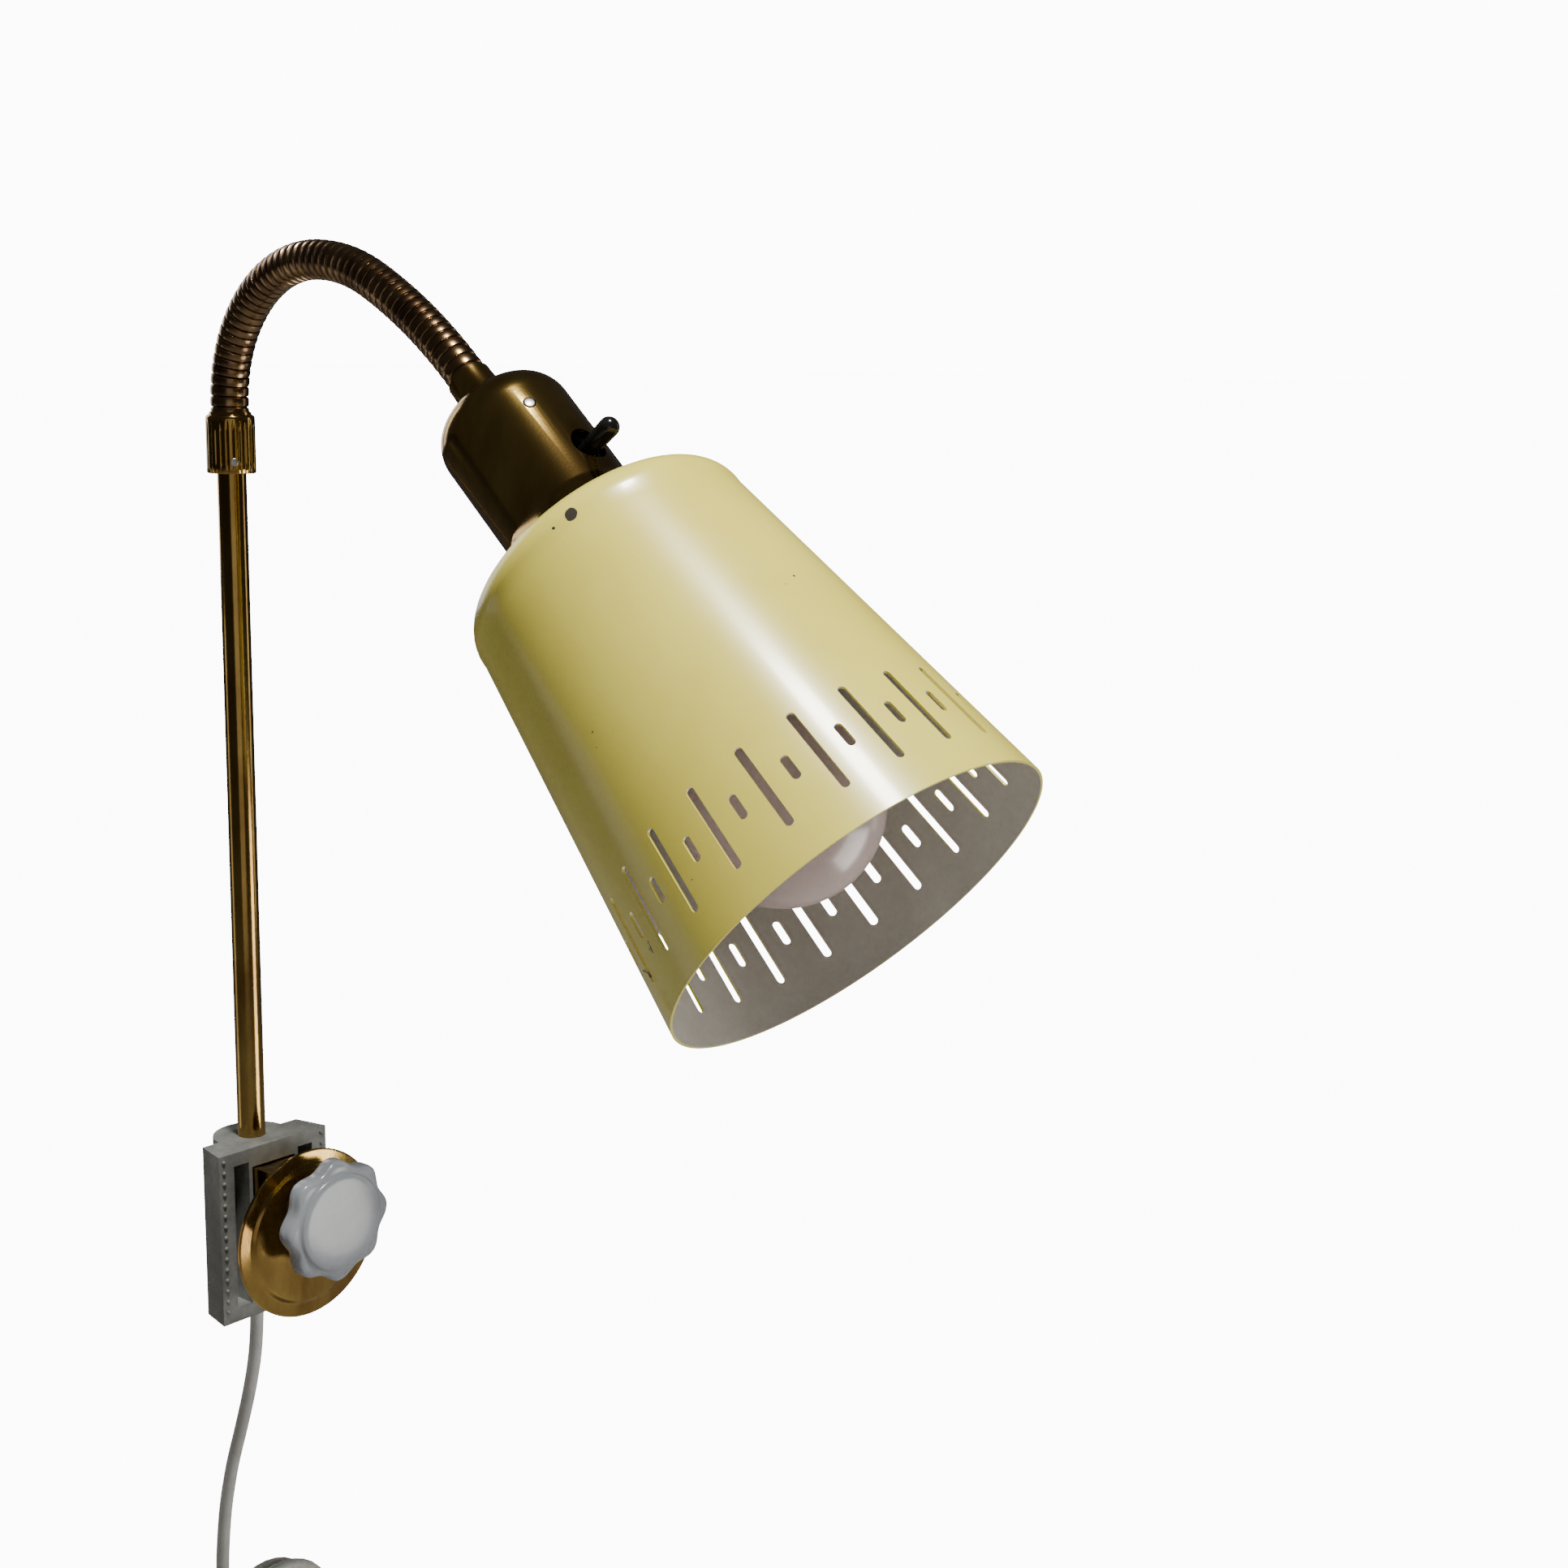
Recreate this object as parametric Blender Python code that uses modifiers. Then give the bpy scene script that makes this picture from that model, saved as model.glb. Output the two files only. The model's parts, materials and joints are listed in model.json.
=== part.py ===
"""Reading lamp on a screw clamp: a straight stem, a flexible neck and a slotted shade.

Blender 4.5, metres, +Z up, front towards -Y. The origin lies on the fixed jaw's face, on the
lamp's middle plane, between the two lightening slots. The lamp is modelled clamped to a rail.
"""

import math

import bmesh
import bpy
from mathutils import Matrix, Vector

MM = 0.001
GAP = 0.3 * MM  # between pieces that touch
RUN = 0.4 * MM  # between pieces that slide
FIT = 0.1 * MM  # round a shaft that turns

# Clamp body: a moulding with a flat jaw face at the front and a half-round boss behind
BODY_HALF_WIDTH = 24.0 * MM
BODY_BACK_HALF_WIDTH = 21.0 * MM
BODY_BLOCK_DEPTH = 13.5 * MM
BODY_TOP = 36.0 * MM
BODY_HEIGHT = 64.0 * MM
BOSS_RADIUS = 14.0 * MM
SLOT_INNER = 11.0 * MM
SLOT_WIDTH = 6.5 * MM
SLOT_DEPTH = 10.5 * MM
SLOT_END_WALL = 5.0 * MM

# Stem and the cord's bush under it
STEM_RADIUS = 5.0 * MM
STEM_WALL = 1.0 * MM
STEM_AXIS_Y = 12.5 * MM
STEM_CLEAR_LENGTH = 240.7 * MM
STEM_FOOT = 8.0 * MM  # from the body's underside up to the tube's lower end
BUSH_RADIUS = 6.2 * MM
BUSH_HEIGHT = 6.0 * MM
LEAD_RADIUS = 1.7 * MM

# Moving jaw: a round plate set low on its screw, and the channel that guides it
RAIL_GAP = 18.75 * MM
DISC_RADIUS = 30.9 * MM
DISC_SHEET = 1.0 * MM
DISC_STEP = 1.25 * MM
DISC_RIM_WIDTH = 5.0 * MM
DISC_DROP = 8.8 * MM  # the plate's centre below the screw
SCREW_DROP = 21.1 * MM  # the screw below the body's top
SCREW_RADIUS = 3.0 * MM
SCREW_HEAD_RADIUS = 5.5 * MM
SCREW_HEAD_THICK = 4.0 * MM
SCREW_FRONT_WALL = 2.0 * MM
SCREW_REACH = 31.0 * MM
CHANNEL_HALF_WIDTH = 9.1 * MM
CHANNEL_SHEET = 1.5 * MM
CHANNEL_DROP = 7.6 * MM
CHANNEL_HEIGHT = 20.0 * MM
CHANNEL_REAR = 11.0 * MM
JAW_CLOSING = 5.2 * MM
RIVET_RADIUS = 1.3 * MM
RIVET_HEAD = 2.0 * MM
RIVET_SIDE = 5.0 * MM
RIVET_RISE = 9.7 * MM

# Knob
KNOB_HUB_RADIUS = 8.5 * MM
KNOB_HUB_LENGTH = 9.2 * MM
KNOB_RIM_RADIUS = 21.3 * MM
KNOB_LOBE = 1.2 * MM
KNOB_LOBES = 8
KNOB_RIM_THICK = 6.8 * MM
KNOB_FACE_RADIUS = 17.6 * MM
KNOB_FACE_RISE = 1.9 * MM
INSERT_RADIUS = 6.0 * MM
INSERT_NECK_RADIUS = 5.0 * MM
INSERT_END_WALL = 0.5 * MM

# Lower ferrule, at the top of the stem
FERRULE_RADIUS = 8.4 * MM
FERRULE_HEIGHT = 21.0 * MM
FERRULE_STEM_DEPTH = 12.0 * MM
FERRULE_BRIDGE = 3.0 * MM
GRUB_RADIUS = 1.45 * MM
GRUB_TURN = -120.0

# Flexible neck: arcs of (radius, degrees turned), from upright over to the head's tilt
NECK_RADIUS = 6.5 * MM
NECK_ARCS = ((47.6 * MM, 90.0), (66.0 * MM, 26.0), (183.0 * MM, 16.2))
NECK_STUB = 3.0 * MM  # from a ferrule to the first bending point
NECK_LINKS = 8
BALL_RADIUS = 5.2 * MM
SOCKET_RADIUS = 5.5 * MM
SLEEVE_BORE = 2.2 * MM
SLEEVE_LIP = 1.5 * MM
SLEEVE_WAIST = 3.6 * MM

# Head, along its own axis from the cup's top
COLLAR_LENGTH = 12.0 * MM
COLLAR_RADIUS = 8.4 * MM
CUP_RADIUS = 22.0 * MM
CUP_WALL = 1.0 * MM
CUP_SHOULDER = 11.5 * MM
CUP_CREASE = 48.5 * MM
SKIRT_RADIUS = 30.0 * MM
NIPPLE_RADIUS = 5.0 * MM
NIPPLE_BORE = 3.2 * MM
SHADE_TOP = 63.0 * MM
SHADE_TOP_RADIUS = 47.0 * MM
SHADE_CORNER = 9.6 * MM
SHADE_MOUTH = 200.8 * MM
SHADE_MOUTH_RADIUS = 63.2 * MM
SHADE_WALL = 0.8 * MM
SHADE_SLOTS = 22
SLOT_LENGTH = 27.5 * MM
SHORT_SLOT_LENGTH = 8.1 * MM
SHADE_SLOT_WIDTH = 2.6 * MM
SLOT_BAND = 24.6 * MM  # from the mouth to the middle of the slots
SLOT_START = -144.5  # degrees round the head
HOLDER_CLEARANCE = 2.8 * MM  # from the lampholder to the cup's outside
HOLDER_RADIUS = CUP_RADIUS - HOLDER_CLEARANCE
HOLDER_WALL = 1.6 * MM
HOLDER_CAP_END = 44.0 * MM
HOLDER_END = 108.0 * MM
BULB_BASE = 85.0 * MM
BULB_LENGTH = 107.0 * MM
BULB_RADIUS = 30.0 * MM
BULB_CAP_RADIUS = 13.2 * MM
BULB_CAP_LENGTH = 26.0 * MM

# Switch lever in the cup's side
LEVER_RADIUS = 3.2 * MM
LEVER_DOWN = 38.5 * MM
LEVER_PIVOT = 14.0 * MM  # from the head's axis
LEVER_PROUD = 12.5 * MM
LEVER_HOLE = 6.0 * MM
LEVER_TILT = 9.0
LEVER_TURN = -90.0
CUP_SCREW_DOWN = 19.0 * MM
CUP_SCREW_TURN = -115.0

# Cord, in millimetres: it leaves the bush, hangs free, and is put away in a tied hank with its plug below
CORD_RADIUS = 2.5 * MM
CORD_SIDES = 3
CORD_ROUTE = (
    (0.0, 12.5, -24.5),
    (0.0, 12.6, -34.0),
    (-0.3, 14.0, -50.0),
    (-0.8, 17.5, -66.0),
    (-1.5, 22.5, -83.0),
    (-2.5, 27.5, -100.0),
    (-3.5, 31.0, -118.0),
    (-4.0, 33.0, -136.0),
    (-4.0, 33.8, -150.0),
    (-4.0, 33.8, -162.4),
)
HANK_RUN = 95.0 * MM
HANK_OUTER = 27.5 * MM
HANK_THICK = 10.0 * MM
HANK_CENTRE = (21.0 * MM, 36.3 * MM, -226.0 * MM)
TAIL_ROUTE = (
    (-4.0, 38.8, -289.6),
    (-4.0, 38.8, -294.0),
    (-4.0, 38.8, -299.0),
)
PLUG_LENGTH = 36.0 * MM
PLUG_WIDTH = 35.0 * MM
PLUG_THICK = 14.0 * MM
RELIEF_LENGTH = 20.0 * MM
PIN_RADIUS = 2.0 * MM
PIN_SPACING = 19.0 * MM
PIN_LENGTH = 19.0 * MM
RING_THICK = 0.8 * MM
LEAD_END = 0.9 * MM  # how far each piece of lead stays from a bending point
LEAD_FOOT = 14.0 * MM
NIPPLE_DOWN = 9.0 * MM
NUT_RADIUS = 8.0 * MM
NUT_THICK = 3.0 * MM
CUP_SCREW_RADIUS = 1.7 * MM
HOLDER_TOP_RADIUS = 14.0 * MM
DRUM_RADIUS = 3.0 * MM
DRUM_HALF = 3.5 * MM
PIN_HOLE = 1.1 * MM
TIE_HALF = 4.0 * MM
TIE_THICK = 1.2 * MM
PIN_ROOT = 8.0 * MM

# Places worked out from the sizes above
BODY_BOTTOM = BODY_TOP - BODY_HEIGHT
SCREW_Z = BODY_TOP - SCREW_DROP
DISC_Z = SCREW_Z - DISC_DROP
CHANNEL_TOP = BODY_TOP - CHANNEL_DROP
DISC_FACE = -RAIL_GAP - DISC_STEP
HUB_REAR = DISC_FACE - DISC_SHEET - GAP
RIM_REAR = HUB_REAR - KNOB_HUB_LENGTH
RIM_FRONT = RIM_REAR - KNOB_RIM_THICK
FERRULE_FOOT = BODY_TOP + STEM_CLEAR_LENGTH
FERRULE_TOP = FERRULE_FOOT + FERRULE_HEIGHT
SHADE_SLOPE = (SHADE_MOUTH_RADIUS - SHADE_TOP_RADIUS) / (SHADE_MOUTH - SHADE_TOP - SHADE_CORNER)


def clear_scene():
    for obj in list(bpy.data.objects):
        bpy.data.objects.remove(obj)


def new_collection(name, hidden=False):
    collection = bpy.data.collections.new(name)
    collection.hide_render = hidden
    bpy.context.scene.collection.children.link(collection)
    return collection


def new_material(name, colour, roughness, metallic=0.0):
    material = bpy.data.materials.new(name)
    material.use_nodes = True
    shader = material.node_tree.nodes["Principled BSDF"]
    shader.inputs["Base Color"].default_value = (*colour, 1.0)
    shader.inputs["Roughness"].default_value = roughness
    shader.inputs["Metallic"].default_value = metallic
    return material


clear_scene()
LAMP = new_collection("reading_lamp")
CUTTERS = new_collection("cutters", hidden=True)
BRASS = new_material("brass", (0.55, 0.38, 0.14), 0.28, 1.0)
BRONZE = new_material("neck_metal", (0.30, 0.21, 0.12), 0.38, 1.0)
STEEL = new_material("steel", (0.55, 0.55, 0.56), 0.35, 1.0)
GREY_PLASTIC = new_material("grey_plastic", (0.17, 0.18, 0.17), 0.55)
KNOB_PLASTIC = new_material("knob_plastic", (0.26, 0.28, 0.32), 0.25)
BLACK_PLASTIC = new_material("black_plastic", (0.01, 0.01, 0.01), 0.2)
ENAMEL = new_material("yellow_enamel", (0.72, 0.66, 0.28), 0.35)
CERAMIC = new_material("holder_insert", (0.75, 0.73, 0.68), 0.45)
OPAL = new_material("opal_glass", (0.78, 0.68, 0.66), 0.25)
CORD_PLASTIC = new_material("cord_plastic", (0.55, 0.55, 0.55), 0.5)


def keep(obj, material, parent=None, place=None):
    """Puts a finished piece in the lamp, in its material and at its place under its parent."""
    if not obj.users_collection:
        LAMP.objects.link(obj)
    obj.data.materials.clear()
    obj.data.materials.append(material)
    if parent is not None:
        obj.parent = parent
    if place is not None:
        obj.matrix_basis = place
    obj.data.shade_smooth()
    obj.data.set_sharp_from_angle(angle=math.radians(40))
    return obj


def empty(name, place, parent=None):
    obj = bpy.data.objects.new(name, None)
    LAMP.objects.link(obj)
    obj.empty_display_size = 0.01
    obj.parent = parent
    obj.matrix_basis = place
    return obj


def turned(name, profile, steps=24):
    """A turned piece about its own Z. The profile is (radius, height), down the outer side."""
    mesh = bpy.data.meshes.new(name)
    points = [(radius, 0.0, height) for radius, height in profile]
    closed = profile[0][0] > 0
    edges = [(i, i + 1) for i in range(len(points) - 1)]
    if closed:
        edges.append((len(points) - 1, 0))
    mesh.from_pydata(points, edges, [])
    obj = bpy.data.objects.new(name, mesh)
    screw = obj.modifiers.new("Turn", "SCREW")
    screw.steps = screw.render_steps = steps
    screw.use_merge_vertices = True
    screw.merge_threshold = 1e-6
    return obj


def cylinder(name, radius, low, high, steps=16):
    """A solid cylinder about its own Z, from low to high."""
    mesh = bpy.data.meshes.new(name)
    shape = bmesh.new()
    bmesh.ops.create_cone(
        shape,
        cap_ends=True,
        segments=steps,
        radius1=radius,
        radius2=radius,
        depth=high - low,
        matrix=Matrix.Translation((0, 0, (low + high) / 2)),
    )
    shape.to_mesh(mesh)
    shape.free()
    return bpy.data.objects.new(name, mesh)


def box(name, low, high):
    mesh = bpy.data.meshes.new(name)
    shape = bmesh.new()
    low, high = Vector(low), Vector(high)
    scale = Matrix.Diagonal((*(high - low), 1.0))
    bmesh.ops.create_cube(shape, size=1.0, matrix=Matrix.Translation((low + high) / 2) @ scale)
    shape.to_mesh(mesh)
    shape.free()
    return bpy.data.objects.new(name, mesh)


def plate(name, outline, low, high):
    """A flat outline in XY, extruded along Z from low to high, as a mesh."""
    curve = bpy.data.curves.new(name, "CURVE")
    curve.dimensions = "2D"
    curve.fill_mode = "BOTH"
    curve.extrude = (high - low) / 2
    spline = curve.splines.new("POLY")
    spline.points.add(len(outline) - 1)
    for point, (x, y) in zip(spline.points, outline):
        point.co = (x, y, 0.0, 1.0)
    spline.use_cyclic_u = True
    drawn = bpy.data.objects.new(name + "_outline", curve)
    bpy.context.scene.collection.objects.link(drawn)
    bpy.context.view_layer.update()
    mesh = bpy.data.meshes.new_from_object(drawn.evaluated_get(bpy.context.evaluated_depsgraph_get()))
    bpy.data.objects.remove(drawn)
    bpy.data.curves.remove(curve)
    shape = bmesh.new()
    shape.from_mesh(mesh)
    bmesh.ops.remove_doubles(shape, verts=shape.verts, dist=1e-6)
    bmesh.ops.recalc_face_normals(shape, faces=shape.faces)
    bmesh.ops.translate(shape, verts=shape.verts, vec=(0, 0, (low + high) / 2))
    shape.to_mesh(mesh)
    shape.free()
    mesh.name = name
    return bpy.data.objects.new(name, mesh)


def tube(name, points, radius, sides, material, parent=None):
    """A round cord along the points."""
    curve = bpy.data.curves.new(name, "CURVE")
    curve.dimensions = "3D"
    curve.bevel_depth = radius
    curve.bevel_resolution = sides - 1
    curve.use_fill_caps = True
    spline = curve.splines.new("POLY")
    spline.points.add(len(points) - 1)
    for point, place in zip(spline.points, points):
        point.co = (*place, 1.0)
    obj = bpy.data.objects.new(name, curve)
    LAMP.objects.link(obj)
    curve.materials.append(material)
    obj.parent = parent
    return obj


def boolean(obj, other, operation="DIFFERENCE", place=None, parent=None):
    """Cuts the other shape from this one, or joins it on, as a live modifier."""
    if not other.users_collection:
        CUTTERS.objects.link(other)
        other.hide_render = True
        other.display_type = "WIRE"
        other.parent = parent
        if place is not None:
            other.matrix_basis = place
    modifier = obj.modifiers.new(operation.title(), "BOOLEAN")
    modifier.operation = operation
    modifier.object = other
    return obj


def arc(centre, radius, start, end, count):
    """Points on an arc, in degrees, both ends included."""
    angles = [math.radians(start + (end - start) * i / (count - 1)) for i in range(count)]
    return [(centre[0] + radius * math.cos(a), centre[1] + radius * math.sin(a)) for a in angles]


# A turned piece lies along the screw with its top, local +Z, towards the front
ALONG_SCREW = Matrix.Translation((0, 0, SCREW_Z)) @ Matrix.Rotation(math.radians(90), 4, "X")


def about_y(z):
    """Local +Z points to the front, -Y, at this height."""
    return Matrix.Translation((0, 0, z)) @ Matrix.Rotation(math.radians(90), 4, "X")


def stem_place(z=0.0):
    return Matrix.Translation((0, STEM_AXIS_Y, z))


# --- Clamp body, its screw and the cord's bush


def channel_outline(half_width, top, sheet, foot):
    """The inverted U of the channel, or of the space that it slides in, in X and Z."""
    inner = half_width - sheet
    return (
        (-half_width, foot),
        (-inner, foot),
        (-inner, top - sheet),
        (inner, top - sheet),
        (inner, foot),
        (half_width, foot),
        (half_width, top),
        (-half_width, top),
    )


def make_clamp_body():
    reach = math.degrees(math.asin((BODY_BLOCK_DEPTH - STEM_AXIS_Y) / BOSS_RADIUS))
    outline = [(-BODY_HALF_WIDTH, 0), (BODY_HALF_WIDTH, 0), (BODY_BACK_HALF_WIDTH, BODY_BLOCK_DEPTH)]
    outline += arc((0, STEM_AXIS_Y), BOSS_RADIUS, reach, 180 - reach, 13)
    outline.append((-BODY_BACK_HALF_WIDTH, BODY_BLOCK_DEPTH))
    body = plate("clamp_body", outline, BODY_BOTTOM, BODY_TOP)

    for side in (-1, 1):
        near, far = sorted((side * SLOT_INNER, side * (SLOT_INNER + SLOT_WIDTH)))
        low = (near, -MM, BODY_BOTTOM + SLOT_END_WALL)
        high = (far, SLOT_DEPTH, BODY_TOP - SLOT_END_WALL)
        boolean(body, box(f"side_slot_{side}", low, high))

    space = channel_outline(
        CHANNEL_HALF_WIDTH + RUN,
        CHANNEL_TOP + RUN,
        CHANNEL_SHEET + 2 * RUN,
        CHANNEL_TOP - CHANNEL_HEIGHT - RUN,
    )
    depth = CHANNEL_REAR + JAW_CLOSING + RUN
    boolean(body, plate("channel_space", space, -depth, MM), place=about_y(0))

    boolean(body, cylinder("stem_bore", STEM_RADIUS + FIT, BODY_BOTTOM - MM, BODY_TOP + MM, 32), place=stem_place())
    bush = cylinder("bush_bore", BUSH_RADIUS + GAP, BODY_BOTTOM - MM, BODY_BOTTOM + BUSH_HEIGHT + GAP, 24)
    boolean(body, bush, place=stem_place())

    pocket_front = SCREW_FRONT_WALL
    pocket_back = SCREW_FRONT_WALL + SCREW_HEAD_THICK + 2 * GAP
    screw_space = turned(
        "screw_space",
        (
            (0, MM),
            (SCREW_RADIUS + GAP, MM),
            (SCREW_RADIUS + GAP, -pocket_front),
            (SCREW_HEAD_RADIUS + GAP, -pocket_front),
            (SCREW_HEAD_RADIUS + GAP, -pocket_back),
            (0, -pocket_back),
        ),
    )
    boolean(body, screw_space, place=ALONG_SCREW)
    return keep(body, GREY_PLASTIC)


def make_clamp_screw():
    head_front = -SCREW_FRONT_WALL - GAP
    tip = SCREW_REACH
    chamfer = 0.6 * MM
    profile = (
        (0, tip),
        (SCREW_RADIUS - chamfer, tip),
        (SCREW_RADIUS, tip - chamfer),
        (SCREW_RADIUS, head_front),
        (SCREW_HEAD_RADIUS, head_front),
        (SCREW_HEAD_RADIUS, head_front - SCREW_HEAD_THICK),
        (0, head_front - SCREW_HEAD_THICK),
    )
    return keep(turned("clamp_screw", profile), STEEL, place=ALONG_SCREW)


def make_cord_bush():
    bore = CORD_RADIUS + GAP
    low = BODY_BOTTOM - 1.5 * MM
    profile = (
        (BUSH_RADIUS, BODY_BOTTOM + BUSH_HEIGHT),
        (BUSH_RADIUS, BODY_BOTTOM),
        (BUSH_RADIUS - MM, low),
        (bore, low),
        (bore, BODY_BOTTOM + BUSH_HEIGHT),
    )
    return keep(turned("cord_bush", profile), BLACK_PLASTIC, place=stem_place())


# --- Moving jaw


def make_jaw_disc():
    front = RAIL_GAP + DISC_STEP + DISC_SHEET
    inner_edge = DISC_RADIUS - DISC_RIM_WIDTH
    profile = (
        (0, front),
        (inner_edge - DISC_STEP, front),
        (inner_edge, front - DISC_STEP),
        (DISC_RADIUS, front - DISC_STEP),
        (DISC_RADIUS, RAIL_GAP),
        (inner_edge, RAIL_GAP),
        (inner_edge - DISC_STEP, RAIL_GAP + DISC_STEP),
        (0, RAIL_GAP + DISC_STEP),
    )
    disc = turned("jaw_disc", profile, 40)
    far = front + MM
    boolean(disc, cylinder("insert_hole", INSERT_NECK_RADIUS + FIT, 0, far, 24), place=about_y(SCREW_Z))
    for side in (-1, 1):
        place = Matrix.Translation((side * RIVET_SIDE, 0, 0)) @ about_y(SCREW_Z + RIVET_RISE)
        boolean(disc, cylinder(f"disc_rivet_hole_{side}", RIVET_RADIUS + GAP, 0, far, 12), place=place)
    return keep(disc, BRASS, place=about_y(DISC_Z))


def make_guide_channel():
    front = RAIL_GAP + DISC_STEP - GAP
    foot = CHANNEL_TOP - CHANNEL_HEIGHT
    outline = channel_outline(CHANNEL_HALF_WIDTH, CHANNEL_TOP, CHANNEL_SHEET, foot)
    channel = plate("guide_channel", outline, -CHANNEL_REAR, front)
    inner = CHANNEL_HALF_WIDTH - CHANNEL_SHEET / 2
    web = box(
        "channel_front_web",
        (-inner, -front, foot),
        (inner, -front + CHANNEL_SHEET, CHANNEL_TOP - CHANNEL_SHEET / 2),
    )
    channel.matrix_basis = about_y(0)
    boolean(channel, web, "UNION")
    boolean(channel, cylinder("web_hole", INSERT_NECK_RADIUS + GAP, 0, front + MM, 24), place=about_y(SCREW_Z))
    for side in (-1, 1):
        place = Matrix.Translation((side * RIVET_SIDE, 0, 0)) @ about_y(SCREW_Z + RIVET_RISE)
        boolean(channel, cylinder(f"web_rivet_hole_{side}", RIVET_RADIUS + GAP, 0, front + MM, 12), place=place)
    half = STEM_RADIUS + 2 * GAP
    slot_front = STEM_AXIS_Y - STEM_RADIUS - JAW_CLOSING - 2 * RUN
    stem_slot = box(
        "stem_slot",
        (-half, slot_front, CHANNEL_TOP - 2 * CHANNEL_SHEET),
        (half, CHANNEL_REAR + MM, CHANNEL_TOP + MM),
    )
    boolean(channel, stem_slot)
    return keep(channel, BRASS, place=about_y(0))


def make_rivet(number, side):
    """A rivet through the plate and the channel's front web, with a head on each side."""
    front = RAIL_GAP + DISC_STEP + DISC_SHEET + GAP
    back = RAIL_GAP + DISC_STEP - GAP - CHANNEL_SHEET - GAP
    head = 0.7 * MM
    profile = (
        (0, front + head),
        (RIVET_HEAD * 0.7, front + head),
        (RIVET_HEAD, front + head / 2),
        (RIVET_HEAD, front),
        (RIVET_RADIUS, front),
        (RIVET_RADIUS, back),
        (RIVET_HEAD, back),
        (RIVET_HEAD, back - head),
        (0, back - head),
    )
    place = Matrix.Translation((side * RIVET_SIDE, 0, 0)) @ about_y(SCREW_Z + RIVET_RISE)
    return keep(turned(f"channel_rivet_{number}", profile, 12), BRASS, place=place)


RING_BACK = RAIL_GAP + DISC_STEP - GAP - CHANNEL_SHEET - GAP - RING_THICK


def make_retaining_ring():
    """Snaps in the insert's groove, so the knob pulls the jaw back as it is undone."""
    inner, outer = INSERT_NECK_RADIUS - 0.4 * MM, INSERT_NECK_RADIUS + 1.4 * MM
    profile = (
        (outer, RING_BACK + RING_THICK),
        (outer, RING_BACK),
        (inner, RING_BACK),
        (inner, RING_BACK + RING_THICK),
    )
    return keep(turned("knob_retaining_ring", profile), STEEL, place=ALONG_SCREW)


# --- Knob


def knob_radius(angle):
    return KNOB_RIM_RADIUS + KNOB_LOBE * math.cos(KNOB_LOBES * angle)


def make_knob():
    points_per_lobe = 8
    count = KNOB_LOBES * points_per_lobe
    outline = []
    for i in range(count):
        angle = 2 * math.pi * i / count
        radius = knob_radius(angle)
        outline.append((radius * math.cos(angle), radius * math.sin(angle)))
    knob = plate("knob", outline, -RIM_REAR, -RIM_FRONT)
    core_overlap = MM
    core = turned(
        "knob_core",
        (
            (0, -RIM_FRONT + KNOB_FACE_RISE),
            (KNOB_FACE_RADIUS * 0.6, -RIM_FRONT + KNOB_FACE_RISE * 0.93),
            (KNOB_FACE_RADIUS * 0.9, -RIM_FRONT + KNOB_FACE_RISE * 0.75),
            (KNOB_FACE_RADIUS, -RIM_FRONT + KNOB_FACE_RISE * 0.4),
            (KNOB_FACE_RADIUS, -RIM_FRONT - core_overlap),
            (KNOB_HUB_RADIUS, -RIM_REAR + core_overlap),
            (KNOB_HUB_RADIUS, -HUB_REAR),
            (0, -HUB_REAR),
        ),
        32,
    )
    boolean(knob, core, "UNION", place=ALONG_SCREW)
    bore_end = -RIM_FRONT + GAP
    boolean(knob, cylinder("knob_bore", INSERT_RADIUS + GAP, 0, bore_end, 24), place=ALONG_SCREW)
    return keep(knob, KNOB_PLASTIC, place=ALONG_SCREW)


def make_knob_insert():
    """The threaded bush of the knob. Its neck runs through the plate to the retaining ring."""
    end = -RIM_FRONT
    shoulder = -HUB_REAR + GAP
    bore = SCREW_RADIUS + FIT
    groove = INSERT_NECK_RADIUS - 0.7 * MM
    back = RING_BACK - 2 * GAP
    profile = (
        (0, end),
        (INSERT_RADIUS, end),
        (INSERT_RADIUS, shoulder),
        (INSERT_NECK_RADIUS, shoulder),
        (INSERT_NECK_RADIUS, RING_BACK + RING_THICK + GAP / 2),
        (groove, RING_BACK + RING_THICK + GAP / 2),
        (groove, RING_BACK - GAP / 2),
        (INSERT_NECK_RADIUS, RING_BACK - GAP / 2),
        (INSERT_NECK_RADIUS, back),
        (bore, back),
        (bore, end - INSERT_END_WALL),
        (0, end - INSERT_END_WALL),
    )
    return keep(turned("knob_insert", profile), BRASS, place=ALONG_SCREW)


# --- Stem and lower ferrule


def make_stem_tube():
    low = BODY_BOTTOM + STEM_FOOT
    high = FERRULE_FOOT + FERRULE_STEM_DEPTH - GAP
    inner = STEM_RADIUS - STEM_WALL
    profile = ((STEM_RADIUS, high), (STEM_RADIUS, low), (inner, low), (inner, high))
    return keep(turned("stem_tube", profile, 32), BRASS, place=stem_place())


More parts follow.
